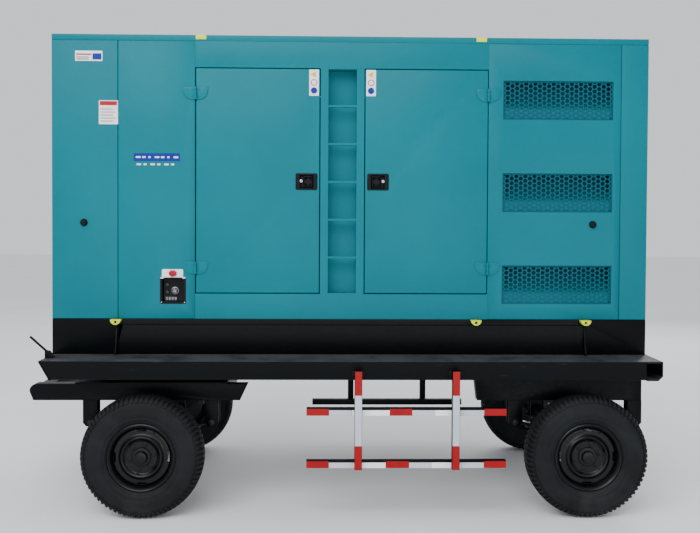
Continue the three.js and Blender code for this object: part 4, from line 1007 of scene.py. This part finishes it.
roof = block("roof", roof_low, roof_high, 0)
for number in range(1, BAY_COUNT):
    x = LEFT + (RIGHT - LEFT) * number / BAY_COUNT
    edit_all(roof, lambda: bpy.ops.mesh.bisect(plane_co=(x, 0, 0), plane_no=(1, 0, 0)))
pressed = edit(roof, lambda c, n: n.z > 0.9, lambda: bpy.ops.mesh.inset(thickness=0.055, depth=0, use_individual=True),
               lambda: bpy.ops.mesh.inset(thickness=0.010, depth=-0.006, use_individual=True))
round_edges(roof, 0.003, 2, 30)
piece(roof, "roof_sheet", "chassis", "canopy_teal", teal, "roof", angle=30)
for number, (x, sign) in enumerate((x, sign) for x in MARK_X for side, sign in SIDES):
    mark = slab("mark", (x - 0.035, x + 0.035), (CANOPY_SIDE + 0.0030, CANOPY_SIDE - 0.0005),
                (roof_high.z - 0.029, roof_high.z), sign, 0.0012)
    piece(mark, f"lifting_mark_{number}", "chassis", "canopy_teal", lug_yellow)
print("roof bays", pressed)

# %% End walls and control door
def end_wall(node, name):
    """An end wall from its solid, narrowed so that it fits between the side skins, with rounded folds."""
    wall = refined(node, name, 0)
    for sign in (-1, 1):
        edit(wall, lambda c, n: n.y * sign > 0.9 and abs(c.y) > CANOPY_SIDE - 0.001,
             lambda: bpy.ops.transform.translate(value=(0, -sign * (PANEL + 0.0015), 0)))
    round_edges(wall, 0.0025, 2, 30)
    return piece(wall, name, "chassis", "canopy_teal", teal, node)


end_wall("canopy_front_wall", "front_wall_louvres")
end_wall("canopy_rear_wall", "rear_wall_frame")
PANE_Y, PANE_Z = (-0.190, 0.190), (2.42, 2.76)
DOOR_LOCK_Y, DOOR_LOCK_Z = 0.262, (2.30, 2.68)
low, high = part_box("control_door")


def pane_block(name, start, end, grow, edge=0.0):
    """A block across the window of the control door, larger than it all round by grow."""
    return block(name, (start, PANE_Y[0] - grow, PANE_Z[0] - grow), (end, PANE_Y[1] + grow, PANE_Z[1] + grow), edge)


control = block("control", low, high, 0)
edit(control, lambda c, n: n.x > 0.9, lambda: bpy.ops.mesh.inset(thickness=0.030, depth=0),
     lambda: bpy.ops.mesh.inset(thickness=0.006, depth=-0.004))
edit(control, lambda c, n: n.x < -0.9, lambda: bpy.ops.mesh.inset(thickness=0.022, depth=-0.010))
cut(control, pane_block("pane_hole", low.x - 0.05, high.x + 0.05, 0.0))
round_edges(control, 0.0025, 2, 35)
piece(control, "control_door_sheet", "control_door", "canopy_teal", teal, "control_door")
gasket = pane_block("gasket", high.x - 0.012, high.x - 0.0022, 0.012)
cut(gasket, pane_block("hole", low.x, high.x + 0.02, -0.010))
piece(round_edges(gasket, 0.002, 2), "pane_gasket", "control_door", "black_plastic", soft_rubber)
pane = pane_block("pane", high.x - 0.0095, high.x - 0.0065, -0.004, 0.0008)
piece(pane, "control_pane", "control_door", "black_plastic", grey_plastic)
locks = [rod("knob", 0.016, (high.x - 0.0045, DOOR_LOCK_Y, z), (high.x - 0.0006, DOOR_LOCK_Y, z), 28, 0.0012)
         for z in DOOR_LOCK_Z]
locks += [block("tab", (high.x - 0.0028, DOOR_LOCK_Y - 0.003, z - 0.011),
                (high.x - 0.0004, DOOR_LOCK_Y + 0.003, z + 0.011), 0.0008) for z in DOOR_LOCK_Z]
piece(locks, "control_door_locks", "control_door", "bare_steel", zinc)
print("end walls ready")

# %% [markdown]
# ## Control panel
# Behind the control door the cabinet carries the instruments: a display with keys, three dials and a
# breaker. They are built low, since the closed door leaves only a thin gap in front of them.

# %% Instruments on the cabinet
PANEL_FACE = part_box("control_cabinet")[1].x


def on_panel(name, y, z, thick, start=0.0002, edge=0.001):
    return block(name, (PANEL_FACE + start, y[0], z[0]), (PANEL_FACE + thick, y[1], z[1]), edge)


def dial(name, y, z, radius, start, thick):
    return rod(name, radius, (PANEL_FACE + start, y, z), (PANEL_FACE + thick, y, z), 32, 0.0007)


DIAL_Y, DIAL_Z = 0.125, (2.475, 2.590, 2.705)
KEY_Y = (-0.140, -0.112, -0.084, -0.056, -0.028)
for name, slot, material, y, z, thick, start, edge in (
        ("instrument_plate", "cabinet_grey", machine_grey, (-0.210, 0.210), (2.420, 2.780), 0.0022, 0.0002, 0.001),
        ("display_bezel", "black_plastic", black_plastic, (-0.165, 0.030), (2.590, 2.740), 0.0062, 0.0002, 0.001),
        ("display_screen", "black_plastic", grey_plastic, (-0.150, 0.015), (2.620, 2.728), 0.0070, 0.0060, 0.0003)):
    piece(on_panel(name, y, z, thick, start, edge), name, "chassis", slot, material)
piece([on_panel("key", (y - 0.010, y + 0.010), (2.598, 2.612), 0.0074, 0.0060) for y in KEY_Y], "display_keys",
      "chassis", "cabinet_grey", cabinet_grey)
for name, slot, material, y in (("start_button", "engine_green", engine_green, -0.130),
                                ("halt_button", "stop_red", stop_red, -0.080)):
    piece(dial("button", y, 2.500, 0.013, 0.0020, 0.0080), name, "chassis", slot, material)
piece([dial("rim", DIAL_Y, z, 0.044, 0.0020, 0.0060) for z in DIAL_Z], "dial_rims", "chassis", "black_plastic",
      black_plastic)
piece([dial("face", DIAL_Y, z, 0.038, 0.0058, 0.0068) for z in DIAL_Z], "dial_faces", "chassis", "cabinet_grey",
      label_white)
piece([on_panel("needle", (DIAL_Y - 0.0015, DIAL_Y + 0.0015), (z, z + 0.030), 0.0074, 0.0066, 0.0002) for z in DIAL_Z],
      "dial_needles", "chassis", "black_plastic", black_plastic)
piece(on_panel("breaker", (-0.120, 0.120), (2.180, 2.360), 0.0050), "breaker_cover", "chassis", "black_plastic",
      black_plastic)
piece(on_panel("toggle", (-0.045, 0.045), (2.240, 2.300), 0.0085, 0.0048), "breaker_toggle", "chassis",
      "cabinet_grey", cabinet_grey)
print("instruments ready")

# %% [markdown]
# ## Base tank, deck and skirts
# The machine stands on a base tank as long as the canopy, and the tank stands on the trailer's deck. Both
# keep their engineering shapes with rounded edges. Half-round lifting lugs, painted yellow, cover the
# square blanks along the tank's top edge, and button-head bolts hold the tank down to the deck.

# %% Tank, lugs and deck
piece(refined("fuel_tank", "base_tank", 0.0025, 2), "base_tank", "chassis", "chassis_black", black, "fuel_tank")
piece(refined("deck", "deck_plate", 0.004, 2), "deck_plate", "chassis", "chassis_black", deck_black, "deck")
tank_low, tank_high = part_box("fuel_tank")
deck_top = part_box("deck")[1].z
LUG_X = (-1.4885, 0.9295, 1.6735)
LUG_RADIUS = 0.035
for number, x in enumerate(LUG_X):
    for side, sign in SIDES:
        top = tank_high.z - 0.0008
        eye = rod("lug", LUG_RADIUS, (x, sign * (CANOPY_SIDE + 0.0005), top),
                  (x, sign * (tank_high.y - 0.0005), top), 40)
        edit_all(eye, lambda: bpy.ops.mesh.bisect(plane_co=(0, 0, top - 0.0002), plane_no=(0, 0, 1), use_fill=True,
                                                  clear_outer=True))
        tidy_mesh(eye)
        cut(eye, rod("eye", 0.010, (x, sign * 0.69, top - 0.017), (x, sign * 0.78, top - 0.017), 20))
        round_edges(eye, 0.0015, 2, 50)
        piece(eye, f"lifting_lug_{number}_{side}", "chassis", "chassis_black", lug_yellow)


def bolt_head(spot, axis, radius=0.011, height=0.007):
    head = rod("bolt", radius, spot, Vector(spot) + Vector(axis) * height, 6, 0.0012)
    washer = rod("washer", radius * 1.45, spot, Vector(spot) + Vector(axis) * 0.0022, 20, 0.0006)
    return [washer, head]


BOLT_STEPS, BOLT_PITCH = 9, 0.45
deck_bolts = []
for side, sign in SIDES:
    for step in range(BOLT_STEPS):
        x = tank_low.x + 0.21 + step * BOLT_PITCH
        deck_bolts += bolt_head((x, sign * (tank_high.y + 0.07), deck_top - 0.0074), (0, 0, 1))
piece(deck_bolts, "deck_bolts", "chassis", "bare_steel", dark_steel)
print("lugs", 2 * len(LUG_X), "deck bolts", 2 * BOLT_STEPS)

# %% [markdown]
# ## Side guards with reflective tape
# Square tubes hang from the deck and keep people from falling under the trailer. They carry bands of
# red, silver and white reflective tape. The tube is built a hair thinner than its true size and each
# band is a thin strip on its outer face, so the tape's edge is a real step and not a painted line.

# %% Guards
guard_low, guard_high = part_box("side_guard_near")
TUBE = 0.050
TAPE = 0.0006
POST_X = (0.1035, 0.7315)
LOW_RAIL, HIGH_RAIL = 0.3529, 0.6929
POST_Y = (1.0503, 1.0003)
RAIL_Y = (1.0013, 0.9513)
BAND_GAP = 0.0006
POST_BANDS = (("red", 0.155), ("silver", 0.325), ("red", 0.155))
RAIL_BANDS = {LOW_RAIL: (("red", 0.146), ("silver", 0.158), ("white", 0.209), ("red", 0.152), ("silver", 0.145),
                         ("white", 0.180), ("silver", 0.160), ("red", 0.146)),
              HIGH_RAIL: (("red", 0.146), ("silver", 0.148), ("white", 0.244), ("red", 0.146), ("silver", 0.146),
                          ("white", 0.160), ("silver", 0.160), ("red", 0.146))}
RAIL_TAPE_TALL = {"red": 0.046, "silver": 0.037, "white": 0.037}
TAPE_PAINT = {"red": (tape_red, "stop_red"), "silver": (tape_silver, "guard_tube"),
              "white": (tape_white, "guard_tube")}


def add_tube(tubes, tapes, x, y, z, sign, along, bands):
    """Adds a thin tube along x (0) or z (2), with strips of tape laid end to end on its outer face."""
    across = 2 - along
    inner = [list(x), [y[0] - TAPE, y[1] + TAPE], list(z)]
    inner[across] = [inner[across][0] + TAPE, inner[across][1] - TAPE]
    tubes.append(slab("tube", *inner, sign, 0.004, 3))
    span = z if along == 2 else x
    place = span[1] if along == 2 else span[0]
    for colour, length in bands:
        step = -length if along == 2 else length
        start, end = sorted((place, place + step))
        ranges = [(x[0] + 0.003, x[1] - 0.003), (y[0], y[0] - 2 * TAPE), (z[0] + 0.002, z[0] + RAIL_TAPE_TALL[colour])]
        ranges[along] = (max(start + BAND_GAP, span[0]), min(end - BAND_GAP, span[1]))
        tapes[colour].append(slab("band", *ranges, sign, 0))
        place += step


for side, sign in SIDES:
    tubes, tapes = [], {colour: [] for colour in TAPE_PAINT}
    for x in POST_X:
        add_tube(tubes, tapes, (x, x + TUBE), POST_Y, (guard_low.z, guard_high.z), sign, 2, POST_BANDS)
        tubes += [slab("weld", (x + 0.004, x + TUBE - 0.004), (1.0012, 0.9995), (z + 0.003, z + TUBE - 0.003), sign, 0)
                  for z in RAIL_BANDS]
        tubes.append(slab("foot", (x - 0.018, x + TUBE + 0.018), (1.0070, 1.0004), (0.9300, 0.9880), sign, 0.0015))
    for z, bands in RAIL_BANDS.items():
        add_tube(tubes, tapes, (guard_low.x, guard_high.x), RAIL_Y, (z, z + TUBE), sign, 0, bands)
    piece(tubes, f"side_guard_tubes_{side}", "chassis", "guard_tube", black, f"side_guard_{side}")
    for colour, strips in tapes.items():
        material, slot = TAPE_PAINT[colour]
        piece(strips, f"guard_tape_{colour}_{side}", "chassis", slot, material, f"side_guard_{side}")
print("guard bands", sum(len(b) for b in RAIL_BANDS.values()) + 2 * len(POST_BANDS))

# %% [markdown]
# ## Stop button and socket box
# Low on the side is a recessed box with a heater or charging inlet, and above it a pale plate with the
# emergency stop. The box keeps its engineering shape. The plate, its button, the screws and the inlet are
# turned and cut as small separate parts, since they are what the eye looks for near the door.

# %% Stop station
PLATE_FOOT = 0.074
piece(refined("stop_socket_box", "socket_box", 0.0015, 2), "socket_box", "chassis", "black_plastic", black_plastic,
      "stop_socket_box")
box_low, box_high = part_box("stop_socket_box")
FLANGE = abs(box_low.y)
button_low, button_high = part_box("emergency_stop_button")
BUTTON = (button_low + button_high) / 2
plate = slab("plate", (BUTTON.x - PLATE_FOOT, BUTTON.x + 0.068), (FLANGE + 0.0012, CANOPY_SIDE + 0.0002),
             (1.5640, 1.6195), edge=0)
round_corners(plate, 0.010, 3, lambda middle: middle.z > 1.60)
cut(plate, rod("hole", 0.0185, (BUTTON.x, -FLANGE - 0.02, BUTTON.z), (BUTTON.x, -FLANGE + 0.02, BUTTON.z), 36))
feet = [block("foot", (x - 0.010, -FLANGE - 0.0012, 1.5560), (x + 0.010, -FLANGE - 0.0002, 1.5660), 0.0004)
        for x in (BUTTON.x - PLATE_FOOT, BUTTON.x + PLATE_FOOT)]
round_edges(plate, 0.0008, 2, 50)
piece([plate, *feet], "stop_plate", "chassis", "cabinet_grey", label_white)
reach = abs(button_low.y)
mushroom = spun("mushroom", [(0.0125, 0.655), (0.0125, reach - 0.0093), (0.0185, reach - 0.0093),
                             (0.0196, reach - 0.0068), (0.0185, reach - 0.003), (0.0140, reach - 0.0006),
                             (0.0004, reach)], (BUTTON.x, 0, BUTTON.z), (0, -1, 0), 48)
edit_all(mushroom, lambda: bpy.ops.transform.resize(value=(1.35, 1.0, 1.12), center_override=tuple(BUTTON)))
piece(mushroom, "stop_mushroom", "stop_button", "stop_red", stop_red, "emergency_stop_button")
screws = [rod("screw", 0.0042, (x, -FLANGE + 0.0005, z), (x, -FLANGE - 0.0022, z), 16, 0.0007)
          for x in (box_low.x + 0.009, box_high.x - 0.009) for z in (box_low.z + 0.009, 1.5600)]
piece(screws, "socket_box_screws", "chassis", "bare_steel", zinc)
BACK_WALL = 0.6440
INLET_X, INLET_Z = (box_low.x + box_high.x) / 2 + 0.004, 1.470
PIN_CIRCLE = 0.009


def on_back_wall(name, profile, x, z, steps):
    """A part turned on the box's back wall, from a profile of (radius, height off the wall)."""
    return spun(name, [(r, BACK_WALL + h) for r, h in profile], (x, 0, z), (0, -1, 0), steps)


inlet = on_back_wall("inlet", [(0.026, 0.0), (0.026, 0.004), (0.0205, 0.006), (0.0190, 0.028), (0.0165, 0.030),
                               (0.0160, 0.010), (0.0004, 0.010)], INLET_X, INLET_Z, 40)
piece(inlet, "power_inlet", "chassis", "bare_steel", steel)
pins = []
for angle in (math.pi / 2, math.pi * 7 / 6, math.pi * 11 / 6):
    x, z = INLET_X + PIN_CIRCLE * math.cos(angle), INLET_Z + PIN_CIRCLE * math.sin(angle)
    pins.append(rod("pin", 0.0028, (x, -BACK_WALL - 0.009, z), (x, -BACK_WALL - 0.024, z), 12, 0.0006))
piece(pins, "inlet_pins", "chassis", "bare_steel", zinc)
fuse_row = []
for number in range(4):
    x = box_low.x + 0.030 + number * 0.020
    fuse_row.append(slab("fuse", (x, x + 0.014), (BACK_WALL + 0.016, BACK_WALL), (1.4060, 1.4280), edge=0.0015))
piece(fuse_row, "terminal_row", "chassis", "cabinet_grey", cabinet_grey)
glands = [on_back_wall("gland", [(0.015, 0.0), (0.015, 0.008), (0.011, 0.014), (0.007, 0.014), (0.007, 0.004),
                                 (0.0004, 0.004)], box_low.x + 0.040, z, 24) for z in (1.462, 1.512)]
piece(glands, "cable_glands", "chassis", "black_plastic", grey_plastic)
print("stop station ready")

# %% [markdown]
# ## Labels and door buffers
# The labels are thin plates that carry plain colour blocks only: they stand for whatever a maker would
# print. Each has a rounded outline and sits a fraction of a millimetre proud. The two round buffers keep
# the big doors off the paint when they swing fully back.

# %% Labels and buffers
def label(name, x, z, material, slot, layer=0, corner=0.003, body="chassis"):
    out = CANOPY_SIDE + 0.0006 + 0.0003 * layer
    plate = slab(name, x, (out, CANOPY_SIDE + 0.00005), z, -1, 0)
    round_corners(plate, corner, 3)
    return piece(plate, name, body, slot, material)


label("top_label_white", (-1.7655, -1.5835), (3.010, 3.079), label_white, "cabinet_grey")
label("top_label_red", (-1.7585, -1.6575), (3.050, 3.060), label_red, "stop_red", 1, 0.001)
label("top_label_blue", (-1.6505, -1.5905), (3.020, 3.062), label_blue, "canopy_teal", 1, 0.002)
for row in range(2):
    label(f"top_label_line_{row}", (-1.7565, -1.6745), (3.020 + row * 0.013, 3.026 + row * 0.013), black_plastic,
          "black_plastic", 1, 0.001)
label("notice_white", (-1.6085, -1.4815), (2.590, 2.749), label_white, "cabinet_grey")
label("notice_header", (-1.6025, -1.4875), (2.716, 2.744), label_red, "stop_red", 1, 0.001)
for row in range(5):
    label(f"notice_line_{row}", (-1.5985, -1.4965 if row % 2 else -1.5125), (2.608 + row * 0.020, 2.613 + row * 0.020),
          label_red if row > 2 else black_plastic, "black_plastic", 1, 0.001)
label("stripe_blue", (-1.3765, -1.0675), (2.345, 2.397), label_blue, "canopy_teal")
for number in range(7):
    x = -1.3625 + number * 0.0420
    label(f"stripe_block_{number}", (x, x + 0.0310 - 0.008 * (number % 3)), (2.366, 2.377), label_white,
          "cabinet_grey", 1, 0.002)
for number in range(6):
    x = -1.3575 + number * 0.046
    label(f"stripe_foot_{number}", (x, x + 0.030 - 0.009 * (number % 2)), (2.318, 2.329), label_white,
          "cabinet_grey", 0, 0.002)

STRIP_WIDE = 0.065
SIGNS = (("yellow_sign", label_yellow, 0.024, 2.934, 3, (0.0, 0.0004)),
         ("red_sign", label_red, 0.022, 2.880, 40, (0.0, 0.0004)),
         ("white_sign", label_white, 0.0165, 2.880, 40, (0.0004, 0.0007)),
         ("blue_sign", label_blue, 0.022, 2.826, 40, (0.0, 0.0004)))
strip_face = -CANOPY_SIDE - 0.0006
for hand, x in (("left", -0.2025), ("right", 0.1815)):
    body, middle = f"door_{hand}_near", x + STRIP_WIDE / 2
    label(f"{hand}_door_strip", (x, x + STRIP_WIDE), (2.791, 2.966), label_white, "cabinet_grey", body=body)
    for name, material, radius, z, sides, (start, end) in SIGNS:
        disc = rod("sign", radius, (middle, strip_face - start, z), (middle, strip_face - end, z), sides)
        piece(disc, f"{hand}_door_{name}", body, "cabinet_grey", material)

BUFFER_PROFILE = ((0.0245, 0.7002), (0.0245, 0.7050), (0.0215, 0.7120), (0.0205, 0.7180), (0.0175, 0.7220),
                  (0.0100, 0.7235), (0.0004, 0.7240))
buffers = [spun("buffer", BUFFER_PROFILE, (x, 0, z), (0, sign, 0), 36)
           for x, z in ((-1.7095, 1.931), (1.7265, 1.933)) for side, sign in SIDES]
piece(buffers, "door_buffers", "chassis", "black_plastic", soft_rubber)
print("labels ready")

# %% [markdown]
# ## Engine room
# Behind the doors stand the engine, alternator, radiator, battery and control cabinet. They are seen when
# a door is open. Their engineering solids give the masses, and small parts make them read as machinery:
# exhaust ports, filters and louvres here, then hoses, rocker covers and a finned core further on.

# %% Engine and alternator
for node, name, slot, material, edge in (
        ("engine", "engine_block", "engine_green", engine_green, 0.006),
        ("alternator", "alternator_body", "machine_grey", machine_grey, 0.006),
        ("radiator", "radiator_frame", "machine_grey", machine_grey, 0.004),
        ("exhaust_silencer", "silencer_shell", "bare_steel", heat_steel, 0.003),
        ("battery", "battery_pair", "battery", soft_rubber, 0.005),
        ("control_cabinet", "cabinet_shell", "cabinet_grey", cabinet_grey, 0.005)):
    piece(refined(node, name, edge, 2), name, "chassis", slot, material, node)
piece(refined("cooling_fan", "fan_blades", 0.0025, 2), "fan_blades", "fan", "black_plastic", black_plastic,
      "cooling_fan")
engine_low, engine_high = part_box("engine")
alternator_low, alternator_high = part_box("alternator")
port_z = engine_high.z - 0.22
ports = [rod("port", 0.026, (x, sign * 0.200, port_z), (x, sign * 0.262, port_z), 24, 0.004)
         for x in (engine_low.x + 0.22 + number * 0.145 for number in range(6)) for side, sign in SIDES]
piece(ports, "exhaust_ports", "chassis", "bare_steel", heat_steel)
FILTERS = ((0.0, 0.248, 1.4400, ((0.0004, 0.0), (0.040, 0.0), (0.046, 0.006), (0.046, 0.150), (0.049, 0.156),
                                 (0.049, 0.172), (0.038, 0.180), (0.0004, 0.180))),
           (0.12, 0.244, 1.4500, ((0.0004, 0.0), (0.036, 0.0), (0.041, 0.006), (0.041, 0.128), (0.044, 0.134),
                                  (0.044, 0.148), (0.034, 0.156), (0.0004, 0.156))))
filters = [spun("filter", profile, (engine_low.x + 0.46 + shift, sign * y, z), (0, 0, 1), 40)
           for side, sign in SIDES for shift, y, z, profile in FILTERS]
piece(filters, "oil_and_fuel_filters", "chassis", "tyre", label_yellow)
LOUVRES, LOUVRE_PITCH = 14, 0.020
louvre_side = abs(alternator_high.y)
louvres = []
for number in range(LOUVRES):
    z = alternator_low.z + 0.20 + number * LOUVRE_PITCH
    louvres += [block("louvre", (alternator_high.x - 0.20, sign * (louvre_side - 0.030), z),
                      (alternator_high.x - 0.06, sign * (louvre_side - 0.002), z + 0.006), 0.0015)
                for side, sign in SIDES]
piece(louvres, "alternator_louvres", "chassis", "machine_grey", machine_grey)
print("engine room details", len(ports) + len(filters) + len(louvres))

# %% [markdown]
# ## Spring clamps and hanger bolts
# U-bolts squeeze the leaf pack to the axle, and bolts go through the eyes. A U-bolt is a rod bent twice. A
# curve with a round bevel would give the exact bend. These bolts sit deep in shadow behind the wheels, so
# straight rods that overlap are enough: two legs, a bridge, and a short slanting rod across each corner.

# %% U-bolts and eye bolts
U_BOLT_RADIUS = 0.008
EYE_Z, EYE_REACH, EYE_CHEEK = 0.5588, 0.415, 0.0112


def u_bolt(x, y, half, top, bottom):
    legs = []
    for sign in (-1, 1):
        foot = y + sign * half
        legs.append(rod("leg", U_BOLT_RADIUS, (x, foot, bottom), (x, foot, top - half * 0.4), 16))
        legs.append(rod("nut", 0.0145, (x, foot, bottom + 0.012), (x, foot, bottom + 0.026), 6, 0.0012))
    bridge = rod("bridge", U_BOLT_RADIUS, (x, y - half + 0.004, top), (x, y + half - 0.004, top), 16)
    corners = [rod("corner", U_BOLT_RADIUS, (x, y + sign * (half - 0.006), top),
                   (x, y + sign * half, top - half * 0.42), 16, 0.001) for sign in (-1, 1)]
    return [bridge, *legs, *corners]


def clamp_parts(axle, spring):
    axle_low, axle_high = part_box(axle)
    low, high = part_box(spring)
    centre_x, y = (axle_low.x + axle_high.x) / 2, (low.y + high.y) / 2
    half = (high.y - low.y) / 2 + U_BOLT_RADIUS + 0.001
    pad_top = low.z + 0.0625
    parts = []
    for step in (-0.052, 0.052):
        parts += u_bolt(centre_x + step, y, half, pad_top + 0.012, axle_low.z - 0.030)
    plate = block("pad", (centre_x - 0.075, low.y - 0.014, axle_low.z - 0.0125),
                  (centre_x + 0.075, high.y + 0.014, axle_low.z - 0.0006), 0.003)
    return [*parts, plate]


def eye_bolts(spring, sign):
    low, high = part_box(spring)
    outer_y = (high.y if sign > 0 else low.y) + sign * EYE_CHEEK
    inner_y = (low.y if sign > 0 else high.y) - sign * EYE_CHEEK
    parts = []
    for end in (-1, 1):
        x = (low.x + high.x) / 2 + end * EYE_REACH
        for direction, y in ((sign, outer_y), (-sign, inner_y)):
            parts += [rod("eye_bolt", 0.0165, (x, y, EYE_Z), (x, y + direction * 0.012, EYE_Z), 6, 0.0015),
                      rod("eye_washer", 0.0210, (x, y, EYE_Z), (x, y + direction * 0.003, EYE_Z), 24, 0.0008)]
    return parts


for end, body in (("front", "bogie"), ("rear", "chassis")):
    hardware = []
    for side, sign in SIDES:
        hardware += clamp_parts(f"{end}_axle", f"leaf_spring_{end}_{side}")
        hardware += eye_bolts(f"leaf_spring_{end}_{side}", sign)
    piece(hardware, f"{end}_spring_hardware", body, "bare_steel", dark_steel)
print("spring hardware ready")

# %% [markdown]
# ## Radiator core, hoses and covers
# The core is a stack of thin fins between two headers. Real fins are a millimetre apart, far too many to
# model, so coarser fins are copied by an array and the finer ones are left to the material. The hoses join
# the radiator's headers to the engine. Six rocker covers top the engine, and the battery gets its caps.

# %% Radiator, hoses, rocker covers and battery caps
FINS, FIN_PITCH, FIN_HALF = 84, 0.0118, 0.478
core_low, core_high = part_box("radiator")
fin = block("fin", (core_low.x - 0.0040, -FIN_HALF, core_low.z + 0.170),
            (core_low.x + 0.0100, FIN_HALF, core_low.z + 0.1725), 0)
apply_modifier(fin, "ARRAY", count=FINS, use_relative_offset=False, use_constant_offset=True,
               constant_offset_displace=(0, 0, FIN_PITCH))
piece(fin, "radiator_fins_front", "chassis", "machine_grey", cooling_core, angle=20)
bars = [block("bar", (core_low.x - 0.0060, y - 0.006, core_low.z + 0.150),
              (core_low.x + 0.0050, y + 0.006, core_high.z - 0.120), 0.0015) for y in (-0.36, -0.18, 0.0, 0.18, 0.36)]
piece(bars, "radiator_tube_bars", "chassis", "machine_grey", machine_grey)


def bent_pipe(name, radius, points, bend=0.05):
    """A pipe along straight runs with rounded corners: a bevelled curve turned into a mesh."""
    curve = bpy.data.curves.new(name, "CURVE")
    curve.dimensions = "3D"
    curve.bevel_depth = radius
    curve.bevel_resolution = 5
    curve.use_fill_caps = True
    spline = curve.splines.new("BEZIER")
    path = []
    for before, corner, after in zip(points, points[1:], points[2:]):
        before, corner, after = Vector(before), Vector(corner), Vector(after)
        into, out = (before - corner).normalized(), (after - corner).normalized()
        path += [(corner + way * bend, corner + way * bend * 0.45) for way in (into, out)]
    spline.bezier_points.add(len(path) + 1)
    knots = [(Vector(points[0]), None), *path, (Vector(points[-1]), None)]
    for number, (knot, (spot, pull)) in enumerate(zip(spline.bezier_points, knots)):
        knot.co = spot
        knot.handle_left_type = knot.handle_right_type = "FREE"
        knot.handle_left = knot.handle_right = spot
        if pull is not None:
            if number % 2:
                knot.handle_right = pull
            else:
                knot.handle_left = pull
    obj = bpy.data.objects.new(name, curve)
    bpy.context.scene.collection.objects.link(obj)
    only(obj)
    bpy.ops.object.convert(target="MESH")
    return tidy_mesh(bpy.context.active_object)


hose_x, port_x = core_high.x + 0.10, engine_low.x + 0.30
top_z = core_high.z - 0.16
hoses = [
    bent_pipe("top_hose", 0.030, [(core_high.x - 0.01, -0.24, top_z), (hose_x, -0.24, top_z), (hose_x, -0.24, 2.20),
                                  (hose_x, -0.10, 2.13), (port_x, -0.10, 2.13),
                                  (port_x, -0.10, engine_high.z - 0.02)], 0.045),
    bent_pipe("low_hose", 0.032, [(core_high.x - 0.01, 0.30, 1.50), (engine_low.x - 0.02, 0.30, 1.50),
                                  (engine_low.x + 0.14, 0.24, 1.56)]),
]
piece(hoses, "coolant_hoses", "chassis", "tyre", soft_rubber)
rocker = []
for number in range(6):
    x = engine_low.x + 0.190 + number * 0.138
    rocker.append(block("cover", (x - 0.060, -0.110, engine_high.z - 0.0006),
                        (x + 0.060, 0.085, engine_high.z + 0.036), 0.014, 4))
    rocker += bolt_head((x, -0.012, engine_high.z + 0.035), (0, 0, 1), 0.008, 0.006)
piece(rocker, "rocker_covers", "chassis", "engine_green", engine_green)
battery_low, battery_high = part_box("battery")
caps = []
for half in range(2):
    for number in range(6):
        x, y = battery_low.x + 0.045 + half * 0.255 + number * 0.033, battery_high.y - 0.055
        caps.append(rod("cap", 0.011, (x, y, battery_low.z + 0.2250), (x, y, battery_low.z + 0.2310), 18, 0.0015))
strap = block("strap", (battery_low.x + 0.245, battery_low.y - 0.004, battery_low.z + 0.01),
              (battery_low.x + 0.265, battery_high.y + 0.004, battery_low.z + 0.2300), 0.002)
piece(caps, "battery_caps", "chassis", "battery", label_yellow)
piece(strap, "battery_strap", "chassis", "bare_steel", zinc)
print("engine fittings ready")

# %% Count the pieces
print("pieces", len(made))
